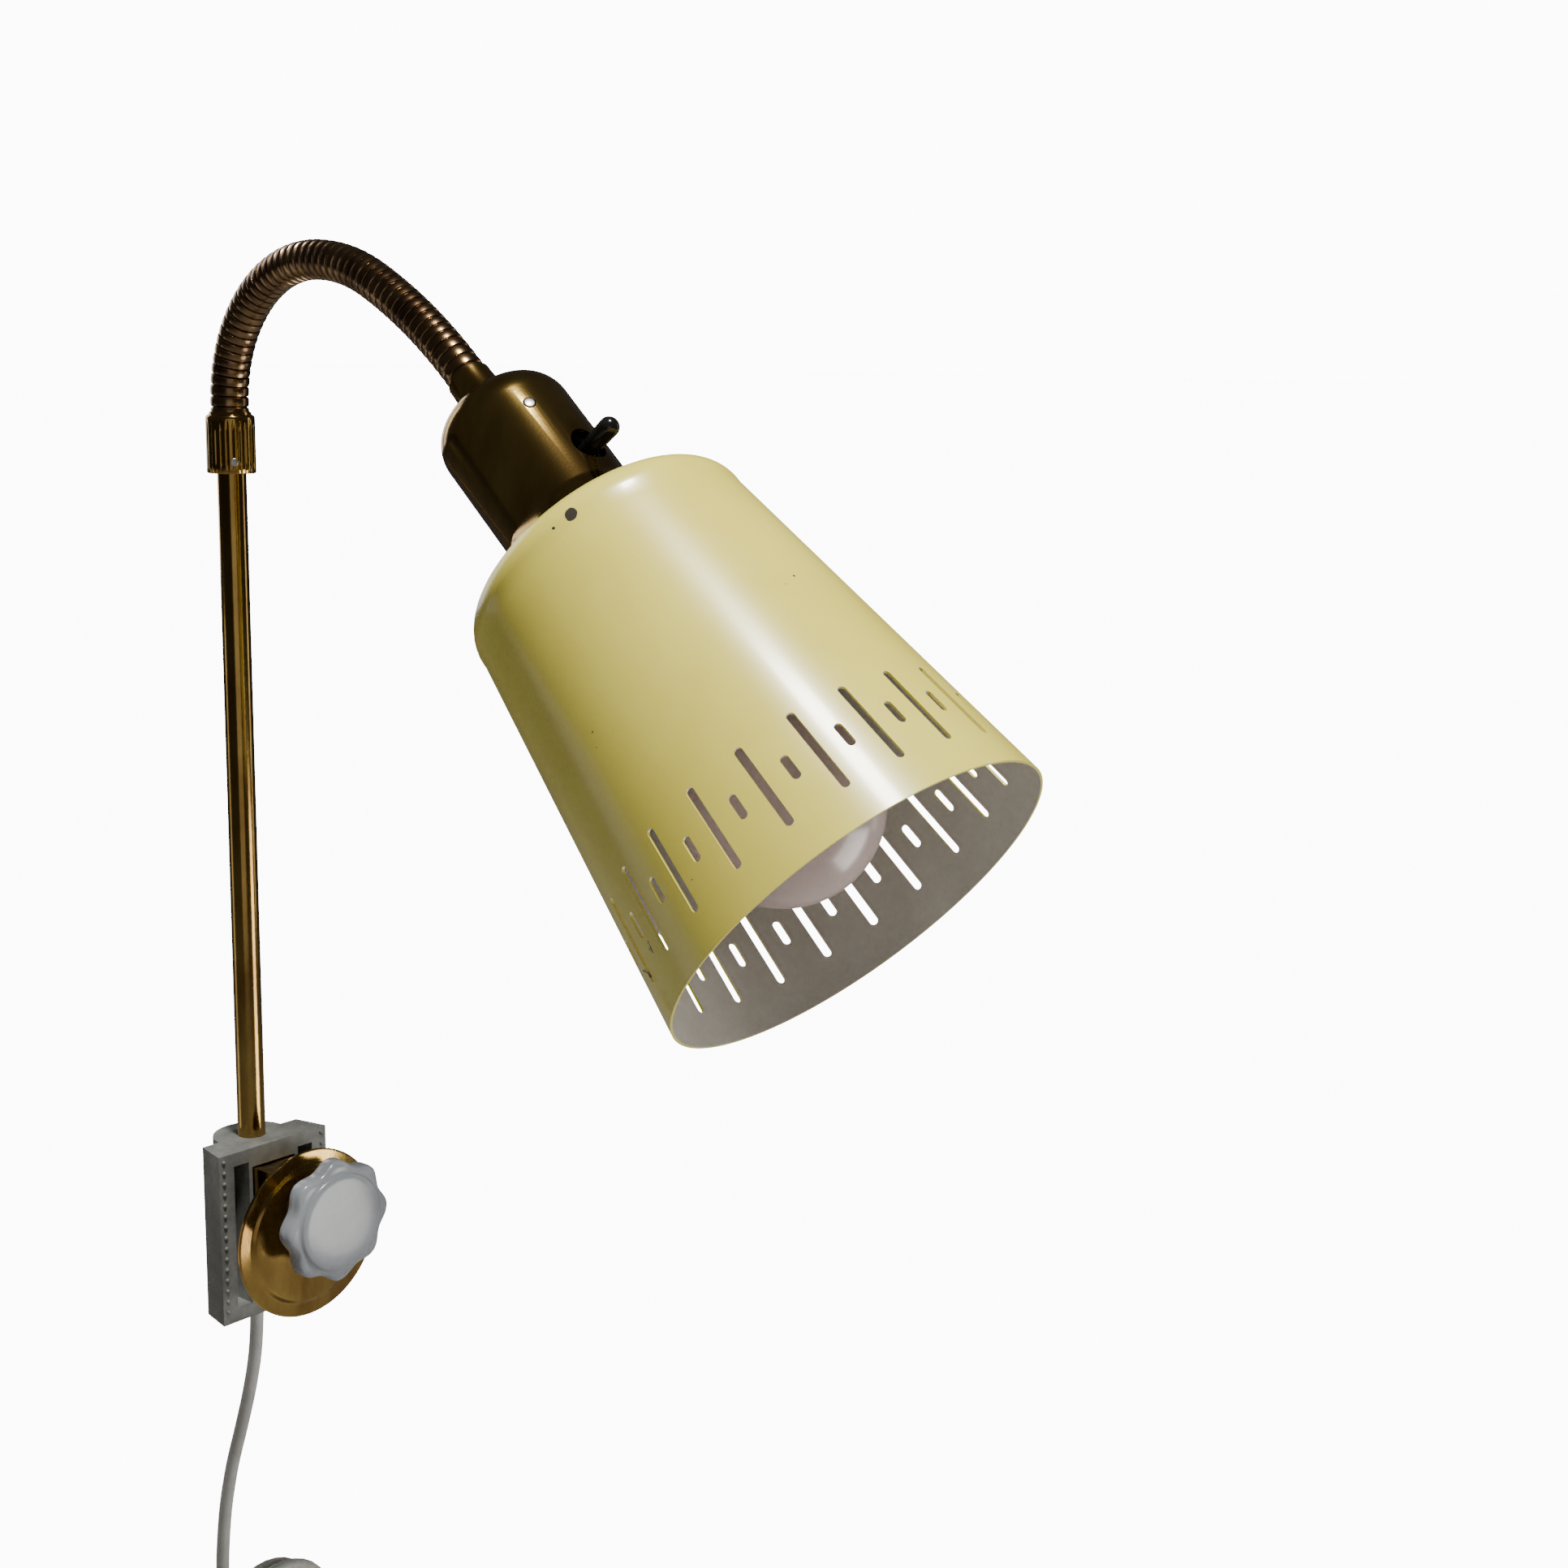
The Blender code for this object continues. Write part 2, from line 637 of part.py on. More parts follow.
def make_lower_ferrule():
    bore = STEM_RADIUS + GAP
    neck_bore = NECK_RADIUS + GAP
    bridge_low = FERRULE_FOOT + FERRULE_STEM_DEPTH
    bridge_high = bridge_low + FERRULE_BRIDGE
    profile = [
        (neck_bore, FERRULE_TOP),
        (neck_bore + 0.5 * MM, FERRULE_TOP),
        (FERRULE_RADIUS - 0.5 * MM, FERRULE_TOP - MM),
        (FERRULE_RADIUS, FERRULE_TOP - 3.0 * MM),
        (FERRULE_RADIUS, FERRULE_FOOT),
        (bore, FERRULE_FOOT),
        (bore, bridge_low),
        (SLEEVE_WAIST, bridge_low),
        (SLEEVE_WAIST, bridge_high),
        (neck_bore, bridge_high),
    ]
    ferrule = turned("lower_ferrule", profile, 32)
    boolean(ferrule, cylinder("grub_hole", GRUB_RADIUS + GAP, 0, 2 * FERRULE_RADIUS, 12), place=grub_place())
    return keep(ferrule, BRASS, place=stem_place())


def grub_place():
    """Local +Z points out of the ferrule, through its grub screw."""
    up = FERRULE_FOOT + 4.0 * MM
    turn = Matrix.Rotation(math.radians(GRUB_TURN), 4, "Z")
    return stem_place(up) @ turn @ Matrix.Rotation(math.radians(90), 4, "Y")


def make_grub_screw():
    screw = cylinder("ferrule_grub_screw", GRUB_RADIUS, STEM_RADIUS + GAP, FERRULE_RADIUS + 0.1 * MM, 12)
    return keep(screw, STEEL, place=grub_place())


def make_stem_lead(top):
    lead = cylinder("stem_lead", LEAD_RADIUS, BODY_BOTTOM + STEM_FOOT, top, 10)
    return keep(lead, CORD_PLASTIC, place=stem_place())


# --- Flexible neck


def neck_point(length):
    """(Y, Z, heading) along the neck. Heading is in radians from straight up towards the front."""
    y, z, heading = STEM_AXIS_Y, FERRULE_TOP + NECK_STUB, 0.0
    for radius, degrees in NECK_ARCS:
        span = radius * math.radians(degrees)
        step = min(length, span)
        turn = step / radius
        y -= radius * (math.cos(heading) - math.cos(heading + turn))
        z += radius * (math.sin(heading + turn) - math.sin(heading))
        heading += turn
        length -= step
    y -= length * math.sin(heading)
    z += length * math.cos(heading)
    return y, z, heading


NECK_LENGTH = sum(radius * math.radians(degrees) for radius, degrees in NECK_ARCS)
HEAD_TURN = math.radians(sum(degrees for _, degrees in NECK_ARCS))


def neck_joint(number):
    """The bending point between two sleeves, 0 to NECK_LINKS."""
    y, z, _ = neck_point(NECK_LENGTH * number / NECK_LINKS)
    return Vector((0, y, z))


def link_place(number):
    """At one bending point, with local +Z towards the next."""
    start, end = neck_joint(number), neck_joint(number + 1)
    along = end - start
    heading = math.atan2(-along.y, along.z)
    return Matrix.Translation(start) @ Matrix.Rotation(heading, 4, "X"), along.length


def socket_profile():
    """The hollow of a socket about the origin, from its lip up to the bore."""
    lip = math.degrees(math.asin(-SLEEVE_LIP / SOCKET_RADIUS))
    bore = math.degrees(math.acos(SLEEVE_BORE / SOCKET_RADIUS))
    return arc((0, 0), SOCKET_RADIUS, lip, bore, 6)


def ball_profile(height):
    """The ball about a point at this height, from its bore down to the waist."""
    bore = math.degrees(math.acos(SLEEVE_BORE / BALL_RADIUS))
    waist = -math.degrees(math.acos(SLEEVE_WAIST / BALL_RADIUS))
    return arc((0, height), BALL_RADIUS, bore, waist, 7)


def waist_profile(height):
    return [(SLEEVE_WAIST, height - 4.6 * MM), (NECK_RADIUS, height - 7.6 * MM)]


def make_sleeves():
    sleeves = []
    first = neck_joint(0).z
    foot = FERRULE_FOOT + FERRULE_STEM_DEPTH + FERRULE_BRIDGE + GAP
    root = ball_profile(first) + waist_profile(first) + [(NECK_RADIUS, foot), (SLEEVE_BORE, foot)]
    sleeves.append(keep(turned("neck_root_sleeve", root, 16), BRONZE, place=stem_place()))
    for number in range(NECK_LINKS):
        place, length = link_place(number)
        profile = ball_profile(length) + waist_profile(length)
        profile += [(NECK_RADIUS, -SLEEVE_LIP)] + socket_profile()
        joint = empty(f"neck_joint_{number + 1}", place)
        sleeves.append(keep(turned(f"neck_sleeve_{number + 1}", profile, 16), BRONZE, joint))
        lead = cylinder(f"neck_lead_{number + 1}", LEAD_RADIUS, BALL_RADIUS + LEAD_END, length - LEAD_END, 8)
        keep(lead, CORD_PLASTIC, joint)
    return sleeves


# --- Head. Its frame has its origin at the cup's top and local -Z along the head, to the mouth


def head_matrix():
    y, z, heading = neck_point(NECK_LENGTH + NECK_STUB + COLLAR_LENGTH)
    return Matrix.Translation((0, y, z)) @ Matrix.Rotation(heading - math.pi, 4, "X")


def radial(turn, down, tilt=0.0, out=0.0):
    """In the head's frame, local +Z points out from its axis at this turn and depth."""
    place = Matrix.Rotation(math.radians(turn), 4, "Z") @ Matrix.Translation((out, 0, -down))
    return place @ Matrix.Rotation(math.radians(90 + tilt), 4, "Y")


def make_neck_tip(head):
    tip = neck_joint(NECK_LINKS)
    up = (tip - head.matrix_basis.translation).length
    end = COLLAR_LENGTH - 4.5 * MM
    socket = [(radius, up - height) for radius, height in reversed(socket_profile())]
    lip = up + SLEEVE_LIP
    profile = [(NECK_RADIUS, lip), (NECK_RADIUS, end), (SLEEVE_BORE, end)] + socket
    keep(turned("neck_tip_sleeve", profile, 16), BRONZE, head)
    lead = cylinder("head_lead", LEAD_RADIUS, -LEAD_FOOT, up - BALL_RADIUS - LEAD_END, 8)
    keep(lead, CORD_PLASTIC, head)


def make_upper_ferrule(head):
    neck_bore = NECK_RADIUS + GAP
    bridge = COLLAR_LENGTH - 4.8 * MM
    profile = (
        (neck_bore, COLLAR_LENGTH),
        (neck_bore + 0.6 * MM, COLLAR_LENGTH),
        (neck_bore + 0.7 * MM, bridge),
        (COLLAR_RADIUS - 0.6 * MM, 2.0 * MM),
        (COLLAR_RADIUS, GAP),
        (NIPPLE_RADIUS + GAP, GAP),
        (NIPPLE_RADIUS + GAP, bridge - 1.2 * MM),
        (SLEEVE_WAIST, bridge - 1.2 * MM),
        (SLEEVE_WAIST, bridge),
        (neck_bore, bridge),
    )
    keep(turned("upper_ferrule", profile, 32), BRASS, head)
    high = bridge - 1.2 * MM - GAP
    nipple = ((NIPPLE_RADIUS, high), (NIPPLE_RADIUS, -NIPPLE_DOWN), (NIPPLE_BORE, -NIPPLE_DOWN), (NIPPLE_BORE, high))
    keep(turned("nipple", nipple), STEEL, head)
    nut_top = -CUP_WALL - GAP
    nut_bottom = nut_top - NUT_THICK
    bore = NIPPLE_RADIUS + GAP
    nut = plate("nipple_nut", arc((0, 0), NUT_RADIUS, 0, 300, 6), nut_bottom, nut_top)
    boolean(nut, cylinder("nut_bore", bore, nut_bottom - MM, nut_top + MM, 24), parent=head)
    keep(nut, STEEL, head)


def cup_outside(offset=0.0):
    """The cup's outer side, or a line this far inside it, from its top hole down."""
    radius = CUP_RADIUS - offset
    corner = CUP_SHOULDER - offset
    side = [(NIPPLE_RADIUS + GAP, -offset)]
    side += [(r, z) for r, z in arc((CUP_RADIUS - CUP_SHOULDER, -CUP_SHOULDER), corner, 90, 0, 6)]
    side.append((radius, -CUP_CREASE))
    foot = SHADE_TOP - GAP
    spread = SKIRT_RADIUS - CUP_RADIUS
    for share, out in ((0.2, 0.12), (0.45, 0.42), (0.7, 0.75), (1.0, 1.0)):
        side.append((radius + spread * out, -CUP_CREASE - (foot - CUP_CREASE) * share))
    return side


def make_cup(head):
    profile = cup_outside() + list(reversed(cup_outside(CUP_WALL)))
    cup = turned("socket_cup", profile, 36)
    hole = cylinder("lever_hole", LEVER_HOLE, CUP_RADIUS / 2, 2 * CUP_RADIUS, 20)
    boolean(cup, hole, place=radial(LEVER_TURN, LEVER_DOWN), parent=head)
    screw_hole = cylinder("cup_screw_hole", CUP_SCREW_RADIUS + GAP, CUP_RADIUS / 2, 2 * CUP_RADIUS, 12)
    boolean(cup, screw_hole, place=radial(CUP_SCREW_TURN, CUP_SCREW_DOWN), parent=head)
    keep(cup, BRASS, head)
    screw = cylinder("cup_screw", CUP_SCREW_RADIUS, HOLDER_RADIUS + GAP, CUP_RADIUS + 0.2 * MM, 12)
    keep(screw, STEEL, head, radial(CUP_SCREW_TURN, CUP_SCREW_DOWN))


HOLDER_TOP = CUP_WALL + NUT_THICK + 3 * GAP


def make_holder(head):
    outer, inner = HOLDER_RADIUS, HOLDER_RADIUS - HOLDER_WALL
    top, shoulder = -HOLDER_TOP, -HOLDER_TOP - 12.0 * MM
    thick = 5.0 * MM
    bore = NIPPLE_RADIUS + GAP
    cap = (
        (bore, top),
        (HOLDER_TOP_RADIUS, top),
        (HOLDER_TOP_RADIUS, top - 8.5 * MM),
        (outer, shoulder),
        (outer, -HOLDER_CAP_END),
        (inner, -HOLDER_CAP_END),
        (inner, shoulder - MM),
        (HOLDER_TOP_RADIUS - HOLDER_WALL, top - thick - 4.0 * MM),
        (HOLDER_TOP_RADIUS - HOLDER_WALL, top - thick),
        (bore, top - thick),
    )
    holder = turned("lampholder_cap", cap, 32)
    slot = cylinder("holder_lever_hole", LEVER_HOLE - GAP, LEVER_PIVOT, CUP_RADIUS, 16)
    boolean(holder, slot, place=radial(LEVER_TURN, LEVER_DOWN), parent=head)
    keep(holder, BLACK_PLASTIC, head)

    core_top = -HOLDER_CAP_END - 6.0 * MM
    core_foot = -BULB_BASE + 2.0 * MM
    skirt = (
        (outer, -HOLDER_CAP_END - GAP),
        (outer, -HOLDER_END),
        (inner, -HOLDER_END),
        (inner, -HOLDER_CAP_END - GAP),
    )
    keep(turned("lampholder_skirt", skirt, 32), BLACK_PLASTIC, head)
    core_radius = inner - GAP
    contact_bore = 2.0 * MM
    core = (
        (contact_bore + GAP, core_top),
        (core_radius, core_top),
        (core_radius, core_foot),
        (contact_bore + GAP, core_foot),
    )
    keep(turned("lampholder_core", core, 24), CERAMIC, head)
    contact = (
        (0, core_top + 2.0 * MM),
        (contact_bore, core_top + 2.0 * MM),
        (contact_bore, core_foot - GAP),
        (5.0 * MM, core_foot - GAP),
        (5.0 * MM, core_foot - GAP - 0.8 * MM),
        (0, core_foot - GAP - 0.8 * MM),
    )
    keep(turned("centre_contact", contact, 16), BRASS, head)
    shell_out, shell_in = core_radius - 1.5 * MM, core_radius - 2.4 * MM
    shell_top = core_foot - GAP
    shell = (
        (shell_out, shell_top),
        (shell_out, -HOLDER_END + 2.0 * MM),
        (shell_in, -HOLDER_END + 2.0 * MM),
        (shell_in, shell_top),
    )
    keep(turned("thread_shell", shell), BRASS, head)
    block = box(
        "terminal_block",
        (-6.0 * MM, -4.0 * MM, -HOLDER_CAP_END - 1.5 * MM),
        (6.0 * MM, 4.0 * MM, -HOLDER_CAP_END + 9.0 * MM),
    )
    keep(block, CERAMIC, head)
    keep_ring(head)


def keep_ring(head):
    """The threaded ring that holds the shade's top against the cup."""
    top = -SHADE_TOP - SHADE_WALL - GAP
    ring = (
        (HOLDER_RADIUS + 7.0 * MM, top),
        (HOLDER_RADIUS + 7.0 * MM, top - 2.5 * MM),
        (HOLDER_RADIUS + 3.0 * MM, top - 2.5 * MM),
        (HOLDER_RADIUS + 3.0 * MM, top - 8.0 * MM),
        (HOLDER_RADIUS + GAP, top - 8.0 * MM),
        (HOLDER_RADIUS + GAP, top),
    )
    keep(turned("shade_ring", ring, 32), BLACK_PLASTIC, head)


def shade_side(offset=0.0):
    """The shade's outer side, or a line this far inside it, from its top hole to its mouth."""
    centre = (SHADE_TOP_RADIUS - SHADE_CORNER, -SHADE_TOP - SHADE_CORNER)
    side = [(HOLDER_RADIUS + 2 * GAP, -SHADE_TOP - offset)]
    side += arc(centre, SHADE_CORNER - offset, 90, -math.degrees(math.atan(SHADE_SLOPE)), 6)
    side.append((SHADE_MOUTH_RADIUS - offset, -SHADE_MOUTH))
    return side


def slot_shape(length, width):
    """A slot's outline, long in X."""
    straight = length / 2 - width / 2
    ends = arc((straight, 0), width / 2, -90, 90, 5)
    return ends + arc((-straight, 0), width / 2, 90, 270, 5)


def make_shade(head):
    profile = shade_side() + list(reversed(shade_side(SHADE_WALL)))
    shade = turned("shade", profile, 66)
    band = SHADE_MOUTH - SLOT_BAND
    pitch = 360.0 / SHADE_SLOTS
    low, high = SHADE_MOUTH_RADIUS - 12.0 * MM, SHADE_MOUTH_RADIUS + 4.0 * MM
    for number in range(SHADE_SLOTS):
        for share, length in ((0.0, SLOT_LENGTH), (0.5, SHORT_SLOT_LENGTH)):
            turn = SLOT_START + pitch * (number + share)
            cutter = plate(f"slot_{number}_{length:.3f}", slot_shape(length, SHADE_SLOT_WIDTH), low, high)
            boolean(shade, cutter, place=radial(turn, band), parent=head)
    keep(shade, ENAMEL, head)


def make_bulb(head):
    cap = (
        (0, -BULB_BASE),
        (BULB_CAP_RADIUS * 0.45, -BULB_BASE),
        (BULB_CAP_RADIUS, -BULB_BASE - 5.0 * MM),
        (BULB_CAP_RADIUS, -BULB_BASE - BULB_CAP_LENGTH),
        (0, -BULB_BASE - BULB_CAP_LENGTH),
    )
    keep(turned("bulb_cap", cap, 24), STEEL, head)
    neck_top = -BULB_BASE - BULB_CAP_LENGTH - GAP
    centre = -BULB_BASE - BULB_LENGTH + BULB_RADIUS
    globe = [(0, neck_top), (BULB_CAP_RADIUS, neck_top), (BULB_CAP_RADIUS + 2 * MM, neck_top - 7 * MM)]
    globe += arc((0, centre), BULB_RADIUS, 46, -90, 13)
    globe[-1] = (0, centre - BULB_RADIUS)
    keep(turned("bulb_globe", globe, 24), OPAL, head)


def make_lever(head):
    """The lever's local +Z points out of the cup, and its pivot pin lies across, along local Y."""
    pivot = empty("switch_pivot", radial(LEVER_TURN, LEVER_DOWN, LEVER_TILT, LEVER_PIVOT), head)
    reach = CUP_RADIUS - LEVER_PIVOT + LEVER_PROUD
    root = LEVER_RADIUS * 0.8
    profile = [(0, reach)]
    profile += arc((0, reach - LEVER_RADIUS), LEVER_RADIUS, 90, 0, 5)[1:]
    profile += [(root, 2.0 * MM), (root, 0), (0, 0)]
    lever = turned("switch_lever", profile, 20)
    across = Matrix.Rotation(math.radians(90), 4, "X")
    drum = cylinder("lever_drum", DRUM_RADIUS, -DRUM_HALF, DRUM_HALF, 20)
    boolean(lever, drum, "UNION", across, pivot)
    bore = cylinder("lever_bore", PIN_HOLE, -2 * DRUM_HALF, 2 * DRUM_HALF, 12)
    boolean(lever, bore, place=across, parent=pivot)
    keep(lever, BLACK_PLASTIC, pivot)
    pin = cylinder("switch_pin", PIN_HOLE - FIT, -DRUM_HALF - 2 * MM, DRUM_HALF + 2 * MM, 12)
    fixed = radial(LEVER_TURN, LEVER_DOWN, 0.0, LEVER_PIVOT) @ across
    keep(pin, STEEL, head, fixed)


# --- Cord


def smooth(points, each):
    """Points on a Catmull-Rom curve through the given ones."""
    ends = [points[0] * 2 - points[1], *points, points[-1] * 2 - points[-2]]
    found = []
    for before, start, end, after in zip(ends, ends[1:], ends[2:], ends[3:]):
        for i in range(each):
            t = i / each
            found.append(
                0.5 * (
                    2 * start
                    + (end - before) * t
                    + (2 * before - 5 * start + 4 * end - after) * t * t
                    + (3 * start - before - 3 * end + after) * t * t * t
                )
            )
    return found + [points[-1]]


def make_cord():
    route = [Vector(point) * MM for point in CORD_ROUTE]
    tube("cord_run", smooth(route, 2), CORD_RADIUS, CORD_SIDES, CORD_PLASTIC)

    half = HANK_RUN / 2
    outline = arc((0, half), HANK_OUTER, 0, 180, 13) + arc((0, -half), HANK_OUTER, 180, 360, 13)
    hank = plate("cord_hank", outline, -HANK_THICK / 2, HANK_THICK / 2)
    upright = Matrix.Translation(HANK_CENTRE) @ Matrix.Rotation(math.radians(90), 4, "X")
    for side in (-1, 1):
        notch = TIE_THICK + GAP
        low, high = sorted((side * (HANK_THICK / 2 - notch), side * HANK_THICK))
        groove = box(f"hank_groove_{side}", (-2 * HANK_OUTER, -TIE_HALF - GAP, low), (2 * HANK_OUTER, TIE_HALF + GAP, high))
        boolean(hank, groove, place=upright)
        low, high = sorted((side * (HANK_OUTER - notch), side * 2 * HANK_OUTER))
        edge = box(f"hank_edge_{side}", (low, -TIE_HALF - GAP, -HANK_THICK), (high, TIE_HALF + GAP, HANK_THICK))
        boolean(hank, edge, place=upright)
    keep(hank, CORD_PLASTIC, place=upright)

    tie = box("cord_tie", (-HANK_OUTER, -TIE_HALF, -HANK_THICK / 2), (HANK_OUTER, TIE_HALF, HANK_THICK / 2))
    inside = TIE_THICK
    hole = box(
        "tie_hole",
        (-HANK_OUTER + inside, -2 * TIE_HALF, -HANK_THICK / 2 + inside),
        (HANK_OUTER - inside, 2 * TIE_HALF, HANK_THICK / 2 - inside),
    )
    boolean(tie, hole, place=upright)
    keep(tie, BLACK_PLASTIC, place=upright)

    tail = [Vector(point) * MM for point in TAIL_ROUTE]
    tube("cord_tail", smooth(tail, 1), CORD_RADIUS, CORD_SIDES, CORD_PLASTIC)
    make_plug(tail[-1] - Vector((0, 0, GAP)))


def make_plug(top):
    """A two-pin plug that hangs from the end of its lead, pins down."""
    place = Matrix.Translation(top)
    relief = ((0, 0), (CORD_RADIUS + MM, 0), (CORD_RADIUS + 2.5 * MM, -RELIEF_LENGTH), (0, -RELIEF_LENGTH))
    keep(turned("plug_strain_relief", relief, 16), CORD_PLASTIC, place=place)
    half, slim = PLUG_WIDTH / 2, PLUG_WIDTH / 4
    outline = (
        (-slim, 0),
        (slim, 0),
        (half, -PLUG_LENGTH * 0.35),
        (half, -PLUG_LENGTH),
        (-half, -PLUG_LENGTH),
        (-half, -PLUG_LENGTH * 0.35),
    )
    body = plate("plug_body", outline, -PLUG_THICK / 2, PLUG_THICK / 2)
    upright = place @ Matrix.Translation((0, 0, -RELIEF_LENGTH - GAP)) @ Matrix.Rotation(math.radians(90), 4, "X")
    body.matrix_basis = upright
    for number, side in ((1, -1), (2, 1)):
        at = place @ Matrix.Translation((side * PIN_SPACING / 2, 0, -RELIEF_LENGTH - GAP - PLUG_LENGTH))
        hole = cylinder(f"pin_hole_{number}", PIN_RADIUS + GAP, -MM, PIN_ROOT, 12)
        boolean(body, hole, place=at)
        keep(cylinder(f"plug_pin_{number}", PIN_RADIUS, -PIN_LENGTH, PIN_ROOT - GAP, 12), STEEL, place=at)
    keep(body, CORD_PLASTIC, place=upright)


def build():
    make_clamp_body()
    make_clamp_screw()
    make_cord_bush()
    make_jaw_disc()
    make_guide_channel()
    make_rivet(1, -1)
    make_rivet(2, 1)
    make_retaining_ring()
    make_knob()
    make_knob_insert()
    make_stem_tube()
    make_lower_ferrule()
    make_grub_screw()
    make_sleeves()
    make_stem_lead(neck_joint(0).z - LEAD_END)
    head = empty("head", head_matrix())
    make_neck_tip(head)
    make_upper_ferrule(head)
    make_cup(head)
    make_holder(head)
    make_shade(head)
    make_bulb(head)
    make_lever(head)
    make_cord()


build()
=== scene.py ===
# %% [markdown]
# # A reading lamp on a screw clamp
# The imported model is loaded first and stays fixed. Each piece made below either takes the place
# of a imported piece, with a finer surface, or adds to it. All but the neck's lengths move with the
# same body.

# %% Load the frame
import json
import math

import bpy
from mathutils import Matrix, Vector


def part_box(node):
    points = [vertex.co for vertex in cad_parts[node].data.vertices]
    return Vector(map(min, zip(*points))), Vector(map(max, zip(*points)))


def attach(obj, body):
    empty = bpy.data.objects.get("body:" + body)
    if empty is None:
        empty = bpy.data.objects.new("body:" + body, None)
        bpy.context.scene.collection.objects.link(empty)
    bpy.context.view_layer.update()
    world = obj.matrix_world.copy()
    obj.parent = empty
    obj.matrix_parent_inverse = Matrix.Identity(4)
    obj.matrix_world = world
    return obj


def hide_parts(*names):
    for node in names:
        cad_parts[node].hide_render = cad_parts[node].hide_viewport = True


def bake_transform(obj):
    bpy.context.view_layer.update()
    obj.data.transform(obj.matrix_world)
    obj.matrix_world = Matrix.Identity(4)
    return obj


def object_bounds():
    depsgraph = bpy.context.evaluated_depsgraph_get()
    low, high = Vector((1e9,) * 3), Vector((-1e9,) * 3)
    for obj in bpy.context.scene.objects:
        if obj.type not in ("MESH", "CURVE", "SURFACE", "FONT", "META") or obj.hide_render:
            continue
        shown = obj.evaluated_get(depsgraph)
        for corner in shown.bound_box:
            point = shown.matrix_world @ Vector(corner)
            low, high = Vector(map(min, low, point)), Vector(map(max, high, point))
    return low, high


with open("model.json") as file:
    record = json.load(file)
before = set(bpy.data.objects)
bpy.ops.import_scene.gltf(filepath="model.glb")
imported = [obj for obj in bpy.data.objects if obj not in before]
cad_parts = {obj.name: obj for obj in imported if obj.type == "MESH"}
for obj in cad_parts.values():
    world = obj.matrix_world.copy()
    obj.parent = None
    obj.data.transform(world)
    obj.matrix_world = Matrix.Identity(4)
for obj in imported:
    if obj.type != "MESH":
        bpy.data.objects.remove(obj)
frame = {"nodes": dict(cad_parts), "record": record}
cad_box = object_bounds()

MM = 0.001
record = frame["record"]
body_of = {node: body for body, nodes in record["behaviour"]["bodies"].items() for node in nodes}
slot_of = {part["node"]: part["material_slot"] for part in record["subparts"]}
joint_at = {joint["name"]: joint for joint in record["behaviour"]["joints"]}

# %% [markdown]
# The camera looks slightly down on the lamp from the front left, with a lens a little longer
# than normal. Its place is in the lamp's own frame, so nothing else depends on it.

# %% Camera
CAMERA_PLACE = Vector((-0.4887, -0.6412, 0.3190))
CAMERA_RIGHT = Vector((0.6382, -0.7698, 0.0147))
CAMERA_UP = Vector((0.1334, 0.1293, 0.9826))
CAMERA_BACK = CAMERA_RIGHT.cross(CAMERA_UP)

camera_data = bpy.data.cameras.new("camera")
camera_data.sensor_width = 36
camera_data.lens = 51.98
camera_data.clip_start = 0.01
camera = bpy.data.objects.new("camera", camera_data)
bpy.context.collection.objects.link(camera)
camera.matrix_world = Matrix.Translation(CAMERA_PLACE) @ Matrix(
    (CAMERA_RIGHT, CAMERA_UP, CAMERA_BACK)
).transposed().to_4x4()
bpy.context.scene.camera = camera
print("camera at", [round(value, 3) for value in CAMERA_PLACE])

# %% [markdown]
# The light hangs nearly overhead, like a ceiling lamp with a square diffuser. It draws the streak
# down the leaning shade and cup, and leaves their undersides in shadow. A broad weak panel fills
# from the front, one looks up into the shade's mouth, two narrow ones edge the metal, and a
# large one behind keeps the back from going dark.

# %% Light and room
def panel(name, place, aim, width, height, watts, tint):
    """A flat rectangular light at a place, turned to face the point it aims at."""
    light = bpy.data.lights.new(name, "AREA")
    light.shape = "RECTANGLE"
    light.size = width
    light.size_y = height
    light.energy = watts
    light.color = tint
    lamp = bpy.data.objects.new(name, light)
    bpy.context.collection.objects.link(lamp)
    lamp.location = place
    lamp.rotation_euler = (Vector(place) - Vector(aim)).to_track_quat("Z", "Y").to_euler()


AIM = (0.0, -0.12, 0.2)
MOUTH_AIM = (-0.02, -0.25, 0.17)
panel("key_panel", (-0.11, -0.48, 1.35), AIM, 0.17, 0.17, 25, (1.0, 0.97, 0.9))
panel("front_panel", (-0.9, -1.2, 0.1), AIM, 1.0, 0.8, 1.3, (1.0, 0.96, 0.9))
panel("mouth_panel", (0.33, -0.58, -0.12), MOUTH_AIM, 0.3, 0.3, 2.2, (1.0, 0.96, 0.9))
panel("left_panel", (-0.45, 0.55, -0.1), AIM, 0.2, 0.5, 0.3, (1.0, 0.95, 0.85))
panel("back_panel", (0.2, 1.35, 0.55), AIM, 0.9, 0.9, 6, (1.0, 0.97, 0.92))
panel("right_panel", (1.1, -0.6, 0.25), AIM, 0.25, 0.9, 1.2, (1.0, 0.96, 0.88))

ROOM_SEEN, ROOM_LIT = 12.0, 0.05
room = bpy.data.worlds.new("room")
bpy.context.scene.world = room
room.use_nodes = True
nodes, links = room.node_tree.nodes, room.node_tree.links
nodes.clear()
seen = nodes.new("ShaderNodeBackground")
seen.inputs["Color"].default_value = (1.0, 1.0, 1.0, 1.0)
seen.inputs["Strength"].default_value = ROOM_SEEN
lit = nodes.new("ShaderNodeBackground")
lit.inputs["Color"].default_value = (1.0, 0.97, 0.92, 1.0)
lit.inputs["Strength"].default_value = ROOM_LIT
ray = nodes.new("ShaderNodeLightPath")
mix = nodes.new("ShaderNodeMixShader")
out = nodes.new("ShaderNodeOutputWorld")
links.new(ray.outputs["Is Camera Ray"], mix.inputs["Fac"])
links.new(lit.outputs["Background"], mix.inputs[1])
